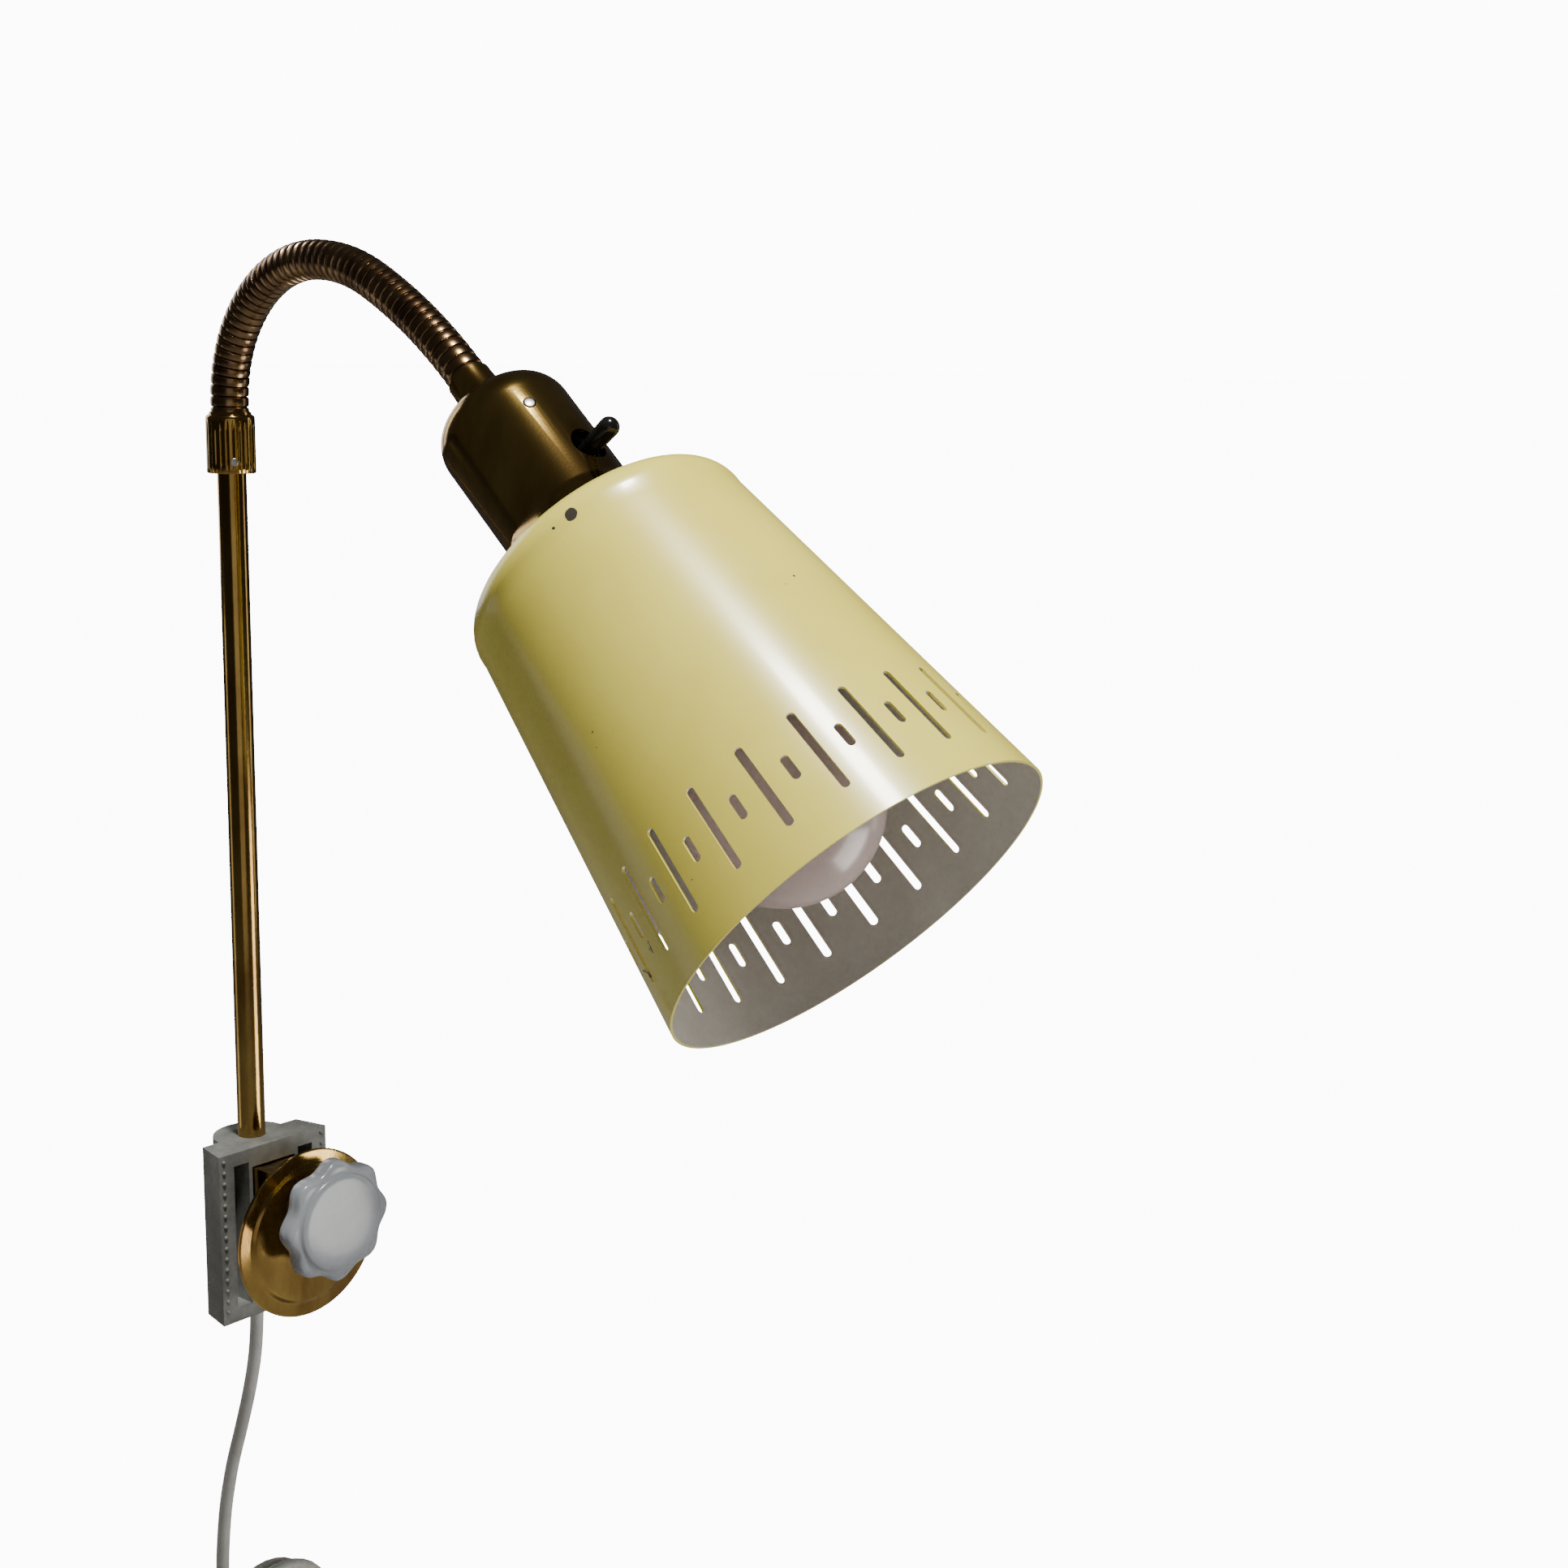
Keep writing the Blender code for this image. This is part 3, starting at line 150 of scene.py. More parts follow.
links.new(seen.outputs["Background"], mix.inputs[2])
links.new(mix.outputs["Shader"], out.inputs["Surface"])
print("room and", len(bpy.data.lights), "panels")

# %% [markdown]
# The floor is plain and pale, a little below the plug. It glows faintly to the camera alone, so
# that it meets the bright room without a hard edge and lights nothing itself.

# %% Floor
FLOOR_SIZE, FLOOR_DROP, FLOOR_GLOW = 200, 0.01, 11.5
bpy.ops.object.select_all(action="DESELECT")
bpy.ops.mesh.primitive_plane_add(size=FLOOR_SIZE, location=(0, 0, cad_box[0][2] - FLOOR_DROP))
floor = bpy.context.object
floor.name = "floor"
floor_paint = bpy.data.materials.new("floor_paint")
floor_paint.use_nodes = True
nodes, links = floor_paint.node_tree.nodes, floor_paint.node_tree.links
paint = nodes["Principled BSDF"]
paint.inputs["Base Color"].default_value = (0.4, 0.4, 0.39, 1)
paint.inputs["Roughness"].default_value = 0.8
paint.inputs["Emission Color"].default_value = (1, 1, 1, 1)
glow = nodes.new("ShaderNodeMath")
glow.operation = "MULTIPLY"
glow.inputs[1].default_value = FLOOR_GLOW
ray = nodes.new("ShaderNodeLightPath")
links.new(ray.outputs["Is Camera Ray"], glow.inputs[0])
links.new(glow.outputs["Value"], paint.inputs["Emission Strength"])
floor.data.materials.append(floor_paint)
print("floor", round(floor.location.z, 3))

# %% [markdown]
# Materials are small node graphs on one pattern: noise drives the colour between two tones, the
# roughness between two values, and a fine bump. Object coordinates keep each pattern in place.

# %% Material helper
PATCH_SPREAD = (0.35, 0.65)
GRAIN_DEPTH = 0.3 * MM


def finish_of(name, light, dark, rough, metallic, scale, grain, bump, stretch=(1, 1, 1)):
    """A finish whose colour and roughness drift between two ends, with a fine grain."""
    material = bpy.data.materials.new(name)
    material.use_nodes = True
    nodes, links = material.node_tree.nodes, material.node_tree.links
    shader = nodes["Principled BSDF"]
    shader.inputs["Metallic"].default_value = metallic
    place = nodes.new("ShaderNodeTexCoord")
    mapping = nodes.new("ShaderNodeMapping")
    mapping.inputs["Scale"].default_value = stretch
    links.new(place.outputs["Object"], mapping.inputs["Vector"])
    patches = nodes.new("ShaderNodeTexNoise")
    patches.inputs["Scale"].default_value = scale
    patches.inputs["Detail"].default_value = 6
    patches.inputs["Roughness"].default_value = 0.6
    links.new(mapping.outputs["Vector"], patches.inputs["Vector"])
    fine = nodes.new("ShaderNodeTexNoise")
    fine.inputs["Scale"].default_value = grain
    fine.inputs["Detail"].default_value = 4
    links.new(mapping.outputs["Vector"], fine.inputs["Vector"])
    ramp = nodes.new("ShaderNodeValToRGB")
    ramp.color_ramp.elements[0].position, ramp.color_ramp.elements[1].position = PATCH_SPREAD
    ramp.color_ramp.elements[0].color = (*dark, 1)
    ramp.color_ramp.elements[1].color = (*light, 1)
    links.new(patches.outputs["Fac"], ramp.inputs["Fac"])
    links.new(ramp.outputs["Color"], shader.inputs["Base Color"])
    dull = nodes.new("ShaderNodeMapRange")
    dull.inputs["To Min"].default_value, dull.inputs["To Max"].default_value = rough
    links.new(patches.outputs["Fac"], dull.inputs["Value"])
    links.new(dull.outputs["Result"], shader.inputs["Roughness"])
    relief = nodes.new("ShaderNodeBump")
    relief.inputs["Strength"].default_value = bump
    relief.inputs["Distance"].default_value = GRAIN_DEPTH
    links.new(fine.outputs["Fac"], relief.inputs["Height"])
    links.new(relief.outputs["Normal"], shader.inputs["Normal"])
    return material


# %% [markdown]
# Brass that has been handled for years goes brown in patches and stays bright where it is
# rubbed. The neck is darker. The clamp is a fine matt moulding, and its knob a glossy one.

# %% Finishes
brass = finish_of(
    "brass", (0.50, 0.34, 0.10), (0.24, 0.135, 0.04),
    (0.2, 0.08), 1.0, 45, 1400, 0.05, (1, 1, 0.35),
)
neck_metal = finish_of(
    "neck_metal", (0.29, 0.19, 0.10), (0.12, 0.07, 0.04),
    (0.3, 0.16), 1.0, 90, 1500, 0.05,
)
steel = finish_of(
    "steel", (0.55, 0.55, 0.56), (0.36, 0.35, 0.34),
    (0.4, 0.25), 1.0, 150, 2000, 0.05,
)
grey_plastic = finish_of(
    "grey_plastic", (0.20, 0.21, 0.205), (0.135, 0.142, 0.138),
    (0.5, 0.62), 0, 140, 2600, 0.16,
)
knob_plastic = finish_of(
    "knob_plastic", (0.34, 0.37, 0.42), (0.29, 0.315, 0.36),
    (0.16, 0.26), 0, 70, 1800, 0.02,
)
black_plastic = finish_of(
    "black_plastic", (0.012, 0.012, 0.012), (0.006, 0.006, 0.006),
    (0.1, 0.2), 0, 120, 1500, 0.02,
)
ceramic = finish_of(
    "holder_insert", (0.72, 0.70, 0.64), (0.60, 0.57, 0.50),
    (0.35, 0.5), 0, 90, 1200, 0.04,
)
opal = finish_of(
    "opal_glass", (0.56, 0.45, 0.43), (0.50, 0.40, 0.38),
    (0.16, 0.22), 0, 25, 900, 0.01,
)
opal.node_tree.nodes["Principled BSDF"].inputs["Subsurface Weight"].default_value = 0.25
opal.node_tree.nodes["Principled BSDF"].inputs["Subsurface Scale"].default_value = 0.01
cord_sheath = finish_of(
    "cord_sheath", (0.60, 0.61, 0.61), (0.47, 0.47, 0.46),
    (0.38, 0.5), 0, 40, 1500, 0.05,
)
shade_inside = finish_of(
    "shade_inside", (0.74, 0.72, 0.67), (0.64, 0.61, 0.55),
    (0.3, 0.42), 0, 30, 1200, 0.03,
)

looks = {
    "brass": brass,
    "neck_metal": neck_metal,
    "steel": steel,
    "grey_plastic": grey_plastic,
    "knob_plastic": knob_plastic,
    "black_plastic": black_plastic,
    "holder_insert": ceramic,
    "opal_glass": opal,
    "cord_plastic": cord_sheath,
    "yellow_enamel": shade_inside,
}
print(len(looks), "finishes")

# %% [markdown]
# The shade's enamel is pale yellow with a soft sheen. It is chipped down to dark metal in two
# places near its top edge, and a few specks of wear are scattered over the rest.

# %% Enamel
SCRATCH_RANGE = (0.735, 0.75)
CHIPS = (((-0.0375, -0.1904, 0.2751), 0.0019), ((-0.0408, -0.1872, 0.2711), 0.0009))
RAGGED, RAGGED_MIDDLE = 3.0 * MM, 1.5 * MM
enamel = finish_of(
    "enamel", (0.93, 0.83, 0.155), (0.87, 0.76, 0.125),
    (0.26, 0.34), 0, 22, 1900, 0.035,
)
nodes, links = enamel.node_tree.nodes, enamel.node_tree.links
shader = nodes["Principled BSDF"]
place = nodes.new("ShaderNodeTexCoord")
scratches = nodes.new("ShaderNodeTexNoise")
scratches.inputs["Scale"].default_value = 90
scratches.inputs["Detail"].default_value = 9
scratches.inputs["Distortion"].default_value = 1.5
links.new(place.outputs["Object"], scratches.inputs["Vector"])
worn = nodes.new("ShaderNodeMapRange")
worn.inputs["From Min"].default_value, worn.inputs["From Max"].default_value = SCRATCH_RANGE
links.new(scratches.outputs["Fac"], worn.inputs["Value"])
chip_colour = nodes.new("ShaderNodeMix")
chip_colour.data_type = "RGBA"
chip_colour.inputs["B"].default_value = (0.05, 0.045, 0.035, 1)
links.new(worn.outputs["Result"], chip_colour.inputs["Factor"])
links.new(shader.inputs["Base Color"].links[0].from_socket, chip_colour.inputs["A"])
links.new(chip_colour.outputs["Result"], shader.inputs["Base Color"])
for spot, reach in CHIPS:
    from_spot = nodes.new("ShaderNodeVectorMath")
    from_spot.operation = "DISTANCE"
    from_spot.inputs[1].default_value = spot
    links.new(place.outputs["Object"], from_spot.inputs[0])
    ragged = nodes.new("ShaderNodeMath")
    ragged.operation = "MULTIPLY_ADD"
    ragged.inputs[1].default_value = RAGGED
    links.new(scratches.outputs["Fac"], ragged.inputs[0])
    links.new(from_spot.outputs["Value"], ragged.inputs[2])
    chipped = nodes.new("ShaderNodeMath")
    chipped.operation = "LESS_THAN"
    chipped.inputs[1].default_value = reach + RAGGED_MIDDLE
    links.new(ragged.outputs["Value"], chipped.inputs[0])
    either = nodes.new("ShaderNodeMath")
    either.operation = "MAXIMUM"
    links.new(chip_colour.inputs["Factor"].links[0].from_socket, either.inputs[0])
    links.new(chipped.outputs["Value"], either.inputs[1])
    links.new(either.outputs["Value"], chip_colour.inputs["Factor"])
shader.inputs["Coat Weight"].default_value = 0.35
shader.inputs["Coat Roughness"].default_value = 0.13
print("enamel with worn spots")

# %% [markdown]
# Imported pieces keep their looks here. Any that stays as it is takes its finish; a small turned
# or moulded piece gets a copy with its facets merged and its edges eased, in its own place.

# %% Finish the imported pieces
MERGE = 1e-6
FLAT_ANGLE, SHARP_ANGLE = math.radians(0.5), math.radians(40)
for name, node in frame["nodes"].items():
    node.data.materials.clear()
    node.data.materials.append(looks[slot_of[name]])


def deselect():
    """Leaves edit mode and selects nothing."""
    if bpy.context.object and bpy.context.object.mode != "OBJECT":
        bpy.ops.object.mode_set(mode="OBJECT")
    bpy.ops.object.select_all(action="DESELECT")


def choose(piece):
    """Selects one piece and makes it the active one."""
    deselect()
    piece.select_set(True)
    bpy.context.view_layer.objects.active = piece


def settle(piece, node, angle=35):
    """Smooths a finished piece, gives it its finish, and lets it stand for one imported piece."""
    choose(piece)
    bpy.ops.object.shade_smooth_by_angle(angle=math.radians(angle))
    if not piece.data.materials:
        piece.data.materials.append(looks[slot_of[node]])
    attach(piece, body_of[node])
    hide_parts(node)


def eased_copy(name, width):
    """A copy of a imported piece, its triangles merged into faces and its sharp edges rounded."""
    copy = bpy.data.objects.new(name + "_finished", frame["nodes"][name].data.copy())
    bpy.context.collection.objects.link(copy)
    copy.data.materials.clear()
    choose(copy)
    bpy.ops.object.mode_set(mode="EDIT")
    bpy.ops.mesh.select_all(action="SELECT")
    bpy.ops.mesh.remove_doubles(threshold=MERGE)
    bpy.ops.mesh.dissolve_limited(angle_limit=FLAT_ANGLE)
    bpy.ops.object.mode_set(mode="OBJECT")
    if width:
        bevel = copy.modifiers.new("Ease", "BEVEL")
        bevel.width = width * MM
        bevel.segments = 2
        bevel.limit_method = "ANGLE"
        bevel.angle_limit = SHARP_ANGLE
        bpy.ops.object.modifier_apply(modifier=bevel.name)
    settle(copy, name)


# Edge widths in millimetres; 0 only merges the facets.
EASED = {
    "clamp_body": 0.7,
    "guide_channel": 0.3,
    "channel_rivet_1": 0.15,
    "channel_rivet_2": 0.15,
    "cord_bush": 0.2,
    "cup_screw": 0.2,
    "ferrule_grub_screw": 0.2,
    "plug_body": 1.5,
    "plug_pin_1": 0.5,
    "plug_pin_2": 0.5,
    "plug_strain_relief": 0.4,
    "shade_ring": 0.3,
    "lampholder_skirt": 0.2,
    "lampholder_cap": 0.0,
    "thread_shell": 0.0,
    "bulb_cap": 0.2,
}
for name, width in EASED.items():
    eased_copy(name, width)
print(len(EASED), "pieces eased")

# %% [markdown]
# Most of the lamp is turned or spun metal, so one helper draws half an outline as a chain of
# extruded points and spins it. Each outline is a list of radius and height, in millimetres.

# %% Turned pieces
def turned(name, outline, steps=96):
    """A piece of revolution about Z, its closed outline in millimetres, at the origin."""
    deselect()
    bpy.ops.mesh.primitive_plane_add(size=0.01)
    piece = bpy.context.object
    piece.name = name
    bpy.ops.object.mode_set(mode="EDIT")
    bpy.ops.mesh.select_mode(type="VERT")
    bpy.ops.mesh.select_all(action="SELECT")
    bpy.ops.mesh.merge(type="CENTER")
    bpy.ops.transform.translate(value=(outline[0][0] * MM, 0, outline[0][1] * MM))
    closed = list(outline[1:])
    if outline[0][0] > 0:
        closed.append(outline[0])
    for (r0, z0), (r1, z1) in zip(outline, closed):
        step = ((r1 - r0) * MM, 0, (z1 - z0) * MM)
        bpy.ops.mesh.extrude_region_move(TRANSFORM_OT_translate={"value": step})
    bpy.ops.mesh.select_all(action="SELECT")
    bpy.ops.mesh.spin(steps=steps, angle=2 * math.pi, center=(0, 0, 0), axis=(0, 0, 1))
    bpy.ops.mesh.select_all(action="SELECT")
    bpy.ops.mesh.remove_doubles(threshold=MERGE)
    bpy.ops.mesh.normals_make_consistent(inside=False)
    bpy.ops.object.mode_set(mode="OBJECT")
    return piece


def put(piece, place):
    """Moves a piece to its place and leaves its object at the origin."""
    choose(piece)
    piece.matrix_world = place
    bpy.ops.object.transform_apply(location=True, rotation=True, scale=True)
    return piece


def arc(centre, radius, start, end, count):
    """Points along an arc, its start and end in degrees."""
    angles = [math.radians(start + (end - start) * i / (count - 1)) for i in range(count)]
    return [(centre[0] + radius * math.cos(a), centre[1] + radius * math.sin(a)) for a in angles]


def middle(node):
    """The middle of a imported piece's box."""
    low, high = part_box(node)
    return (Vector(low) + Vector(high)) / 2


last_joint = Vector(joint_at["neck_bend_7"]["pos_m"])
head_axis = (middle("thread_shell") - middle("nipple")).normalized()
head_turn = math.atan2(head_axis.z, head_axis.y) + math.pi / 2
HEAD_FROM_JOINT = 15.0 * MM
head_place = Matrix.Translation(last_joint + head_axis * HEAD_FROM_JOINT) @ Matrix.Rotation(
    head_turn, 4, "X"
)
stem_y = joint_at["stem_turn"]["pos_m"][1]
screw_z = joint_at["knob_turn"]["pos_m"][2]
screw_place = Matrix.Translation((0, 0, screw_z)) @ Matrix.Rotation(math.pi / 2, 4, "X")
print("head at", [round(value, 4) for value in head_place.translation])

# %% [markdown]
# The shade is spun from thin sheet: a flat top, a tight shoulder and a straight cone. Long and
# short slots alternate near its mouth. It is spun with a wall, then one cutter, bevelled to
# rounded ends, is copied round it and taken away.

# %% Shade
TOP, MOUTH, TOP_RADIUS, MOUTH_RADIUS, CORNER, WALL = 63.0, 200.8, 47.0, 63.2, 9.6, 0.8
TOP_HOLE, TOP_FLAT, CONE_ROWS, SHOULDER_POINTS = 19.8, 30.0, 34, 14
slope = (MOUTH_RADIUS - TOP_RADIUS) / (MOUTH - TOP - CORNER)


def shade_line(offset):
    """One skin of the shade's wall, at a depth under its outer face."""
    line = [(TOP_HOLE, -TOP - offset), (TOP_FLAT, -TOP - offset)]
    centre = (TOP_RADIUS - CORNER, -TOP - CORNER)
    line += arc(centre, CORNER - offset, 90, -math.degrees(math.atan(slope)), SHOULDER_POINTS)
    start = line[-1]
    for row in range(1, CONE_ROWS + 1):
        share = row / CONE_ROWS
        radius = start[0] + (MOUTH_RADIUS - offset - start[0]) * share
        line.append((radius, start[1] + (-MOUTH - start[1]) * share))
    return line


shade = turned("shade_finished", shade_line(0.0) + list(reversed(shade_line(WALL))), 264)
print("shade wall", len(shade.data.polygons), "faces")

# %% [markdown]
# A slot is a long box with its four edges through the wall rounded. There are two lengths, and
# both are centred on one line round the shade. All the boxes are joined and cut away at once.

# %% Slots
SLOTS, FIRST_SLOT, SLOT_LINE = 22, -144.5, 24.6
SLOT_LENGTHS, SLOT_WIDTH, SLOT_REACH = (27.5, 8.1), 2.6, 16.0
cutters = []
for slot_length in SLOT_LENGTHS:
    deselect()
    bpy.ops.mesh.primitive_cube_add(size=1)
    tool = bpy.context.object
    cutters.append(tool)
    put(tool, Matrix.Diagonal((SLOT_REACH * MM, SLOT_WIDTH * MM, slot_length * MM, 1)))
    bpy.ops.object.mode_set(mode="EDIT")
    bpy.ops.mesh.select_all(action="DESELECT")
    bpy.ops.object.mode_set(mode="OBJECT")
    for edge in tool.data.edges:
        a, b = (tool.data.vertices[i].co for i in edge.vertices)
        edge.select = abs(a.x - b.x) > SLOT_REACH * MM / 2
    bpy.ops.object.mode_set(mode="EDIT")
    bpy.ops.mesh.select_mode(type="EDGE")
    bpy.ops.mesh.bevel(offset=SLOT_WIDTH * MM * 0.495, segments=6, affect="EDGES")
    bpy.ops.object.mode_set(mode="OBJECT")
tools = []
for number in range(2 * SLOTS):
    tool = bpy.data.objects.new(f"slot_{number}", cutters[number % 2].data.copy())
    bpy.context.collection.objects.link(tool)
    turn = Matrix.Rotation(math.radians(FIRST_SLOT + number * 180.0 / SLOTS), 4, "Z")
    lean = Matrix.Rotation(-math.atan(slope), 4, "Y")
    band = -MOUTH + SLOT_LINE
    radius = MOUTH_RADIUS - slope * SLOT_LINE
    tool.matrix_world = turn @ Matrix.Translation((radius * MM, 0, band * MM)) @ lean
    tools.append(tool)
deselect()
for tool in tools:
    tool.select_set(True)
bpy.context.view_layer.objects.active = tools[0]
bpy.ops.object.join()
slot_tool = bpy.context.object
choose(shade)
cut = shade.modifiers.new("Slots", "BOOLEAN")
cut.object = slot_tool
cut.operation = "DIFFERENCE"
bpy.ops.object.modifier_apply(modifier=cut.name)
for tool in (slot_tool, *cutters):
    bpy.data.objects.remove(tool)
print("slots", 2 * SLOTS)

# %% [markdown]
# The wall's outer face is enamelled yellow. Its inner face and the underside of its top are off
# white, so each face is given its finish by the way it points.

# %% Shade finishes
shade.data.materials.clear()
shade.data.materials.append(enamel)
shade.data.materials.append(shade_inside)
for face in shade.data.polygons:
    middle_radius = math.hypot(face.center.x, face.center.y)
    outward = face.normal.x * face.center.x + face.normal.y * face.center.y
    under_top = face.normal.z < -0.8 and face.center.z > -MOUTH * MM * 0.9
    face.material_index = 1 if under_top or outward < -0.2 * middle_radius else 0
put(shade, head_place)
settle(shade, "shade", angle=25)
print("shade", len(shade.data.polygons), "faces")

# %% [markdown]
# The socket cup is a drawn brass can with a round shoulder that flares into a skirt against the
# shade. The switch hole and the small screw's dimple are in its side.

# %% Socket cup
CUP, SHOULDER, CREASE, SKIRT, SHEET = 22.0, 11.5, 48.5, 30.0, 1.0
NIPPLE_HOLE, CUP_FOOT, FLARE_ROWS, FLARE_POWER = 5.4, TOP - 0.3, 12, 1.25


def cup_line(offset):
    """One skin of the cup's wall, at a depth under its outer face."""
    line = [(NIPPLE_HOLE, -offset)]
    line += arc((CUP - SHOULDER, -SHOULDER), SHOULDER - offset, 90, 0, 16)
    line.append((CUP - offset, -CREASE))
    for step in range(1, FLARE_ROWS + 1):
        share = step / FLARE_ROWS
        radius = CUP - offset + (SKIRT - CUP) * share ** FLARE_POWER
        line.append((radius, -CREASE - (CUP_FOOT - CREASE) * share))
    return line


cup = turned("socket_cup_finished", cup_line(0.0) + list(reversed(cup_line(SHEET))), 128)


DRILL_DEPTH = 30


def drill(piece, turn, down, radius):
    """A round hole in the head's side, at a turn round its axis and a distance down it."""
    deselect()
    bpy.ops.mesh.primitive_cylinder_add(vertices=48, radius=radius * MM, depth=DRILL_DEPTH * MM)
    bit = bpy.context.object
    bit.matrix_world = (
        Matrix.Rotation(math.radians(turn), 4, "Z")
        @ Matrix.Translation((DRILL_DEPTH * MM, 0, -down * MM))
        @ Matrix.Rotation(math.pi / 2, 4, "Y")
    )
    choose(piece)
    hole = piece.modifiers.new("Hole", "BOOLEAN")
    hole.object = bit
    hole.operation = "DIFFERENCE"
    bpy.ops.object.modifier_apply(modifier=hole.name)
    bpy.data.objects.remove(bit)


drill(cup, -90, 38.5, 6.0)
drill(cup, -115, 19.0, 2.0)
put(cup, head_place)
settle(cup, "socket_cup", angle=30)
print("cup", len(cup.data.polygons), "faces")

# %% [markdown]
# The collar that joins the neck to the cup flares like a bell. The lower ferrule, at the top of
# the stem, is rolled with upright flutes all round and closes in over the neck.

# %% Collar, ferrule and stem
collar_line = [(6.8, 12.0), (7.2, 12.0)]
collar_line += [(7.2 + 1.3 * (step / 8) ** 2.2, 12.0 - 11.7 * step / 8) for step in range(1, 9)]
collar_line += [(5.3, 0.3), (5.3, 6.0), (6.8, 6.0)]
collar = put(turned("upper_ferrule_finished", collar_line), head_place)
settle(collar, "upper_ferrule")

ferrule_low, ferrule_high = (corner[2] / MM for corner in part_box("lower_ferrule"))
ferrule_line = [(6.8, ferrule_high), (7.1, ferrule_high)]
ferrule_line += arc((7.1, ferrule_high - 2.2), 1.3, 80, 0, 6)
ferrule_line += [(8.4, ferrule_high - 3.2)]
ferrule_line += [(8.4, ferrule_high - 3.2 - step * 1.7) for step in range(1, 10)]
ferrule_line += [(8.4, ferrule_low + 0.4), (8.1, ferrule_low), (5.3, ferrule_low)]
ferrule_line += [(5.3, ferrule_high - 6), (6.8, ferrule_high - 6)]
ferrule = turned("lower_ferrule_finished", ferrule_line, 192)
FLUTES, FLUTE_DEPTH = 24, 0.045
for vertex in ferrule.data.vertices:
    radius = math.hypot(vertex.co.x, vertex.co.y) / MM
    if radius > 8.2 and ferrule_low + 0.6 < vertex.co.z / MM < ferrule_high - 3.5:
        angle = math.atan2(vertex.co.y, vertex.co.x)
        inward = 1 - FLUTE_DEPTH * max(0.0, math.cos(FLUTES * angle)) ** 3
        vertex.co.x *= inward
        vertex.co.y *= inward
put(ferrule, Matrix.Translation((0, stem_y, 0)))
settle(ferrule, "lower_ferrule", angle=50)

stem_low, stem_high = (corner[2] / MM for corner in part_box("stem_tube"))
stem_line = ((5.0, stem_high), (5.0, stem_low), (4.0, stem_low), (4.0, stem_high))
stem = put(turned("stem_tube_finished", stem_line, 64), Matrix.Translation((0, stem_y, 0)))
settle(stem, "stem_tube")
print("ferrule from", round(ferrule_low, 1), "to", round(ferrule_high, 1))

# %% [markdown]
# The neck is a hose of interlocked strip: short rounded ribs with a dark line between them. It
# is drawn straight, then each point is carried along the neck's own line, arcs of falling bend.
# One length spans each hinge.

# %% Neck
NECK_ARCS = ((47.6, 90.0), (66.0, 26.0), (183.0, 16.2))
NECK_END, NECK_JOINTS, RIB_PITCH, HOSE, BLEND_REACH = 5.0, 9, 3.3, 6.6, 7.0
neck_length = sum(radius * math.radians(turn) for radius, turn in NECK_ARCS)
neck_foot = joint_at["neck_bend"]["pos_m"][2] / MM
span = neck_length / (NECK_JOINTS - 1)


def neck_frame(length):
    """Place and heading of the neck's line, in millimetres, from its first hinge."""
    y, z, heading = stem_y / MM, neck_foot, 0.0
    if length < 0:
        return y, z + length, heading
    for radius, degrees in NECK_ARCS:
        arc_length = radius * math.radians(degrees)
        turn = min(length, arc_length) / radius
        y -= radius * (math.cos(heading) - math.cos(heading + turn))
        z += radius * (math.sin(heading + turn) - math.sin(heading))
        heading += turn
        length -= min(length, arc_length)
    return y - length * math.sin(heading), z + length * math.cos(heading), heading


def hose(name, low, high, ribs):
    """A ribbed length of hose from one distance along the neck to another."""
    pitch = (high - low) / ribs
    outline = []
    for rib in range(ribs):
        top = high - rib * pitch
        outline += [(HOSE - 0.75, top), (HOSE - 0.12, top - 0.14 * pitch)]
        outline += [(HOSE, top - 0.4 * pitch)]
        outline += [(HOSE - 0.02, top - 0.66 * pitch), (HOSE - 0.16, top - 0.9 * pitch)]
    outline += [(HOSE - 0.75, low), (HOSE - 1.5, low), (HOSE - 1.5, high)]
    piece = turned(name, outline, 48)
    for vertex in piece.data.vertices:
        x, out, along = (value / MM for value in vertex.co)
        y, z, heading = neck_frame(along)
        vertex.co = Vector((x, y + out * math.cos(heading), z + out * math.sin(heading))) * MM
    return piece


sleeves = [f"neck_sleeve_{number}" for number in range(1, 9)]
sleeves = ["neck_root_sleeve", *sleeves, "neck_tip_sleeve"]
for number in range(NECK_JOINTS):
    low = -NECK_END if number == 0 else span * (number - 0.5)
    high = neck_length + NECK_END if number == NECK_JOINTS - 1 else span * (number + 0.5)
    length = hose(f"neck_hose_{number}", low, high, round((high - low) / RIB_PITCH))
    choose(length)
    bpy.ops.object.shade_smooth_by_angle(angle=math.radians(40))
    length.data.materials.append(neck_metal)
    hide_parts(sleeves[number])
    y0, z0, _ = neck_frame(span * number - BLEND_REACH)
    y1, z1, _ = neck_frame(span * number + BLEND_REACH)
    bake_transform(length)
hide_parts(sleeves[-1])
print("neck", round(neck_length, 1), "mm in", NECK_JOINTS, "lengths")

# %% [markdown]
# The bulb is an opal globe on a short neck. Its outline is a few points down the neck and one
# arc round the globe, which ends exactly on the axis so that the bottom closes to a point.

# %% Bulb
bulb_end, globe_radius = 192.0, 30.0
globe_line = [(0, -111.3), (13.2, -111.3), (13.6, -114.0), (15.5, -119.5)]
globe_line += arc((0, -bulb_end + globe_radius), globe_radius, 52, -90, 26)
globe_line[-1] = (0, -bulb_end)
globe = put(turned("bulb_globe_finished", globe_line, 96), head_place)
settle(globe, "bulb_globe", angle=60)
print("bulb ends at", bulb_end)

# %% [markdown]
# The moving jaw is a round brass plate, slightly dished, with a rolled rim. The screw passes
# above its middle, so the plate hangs low over the rail.

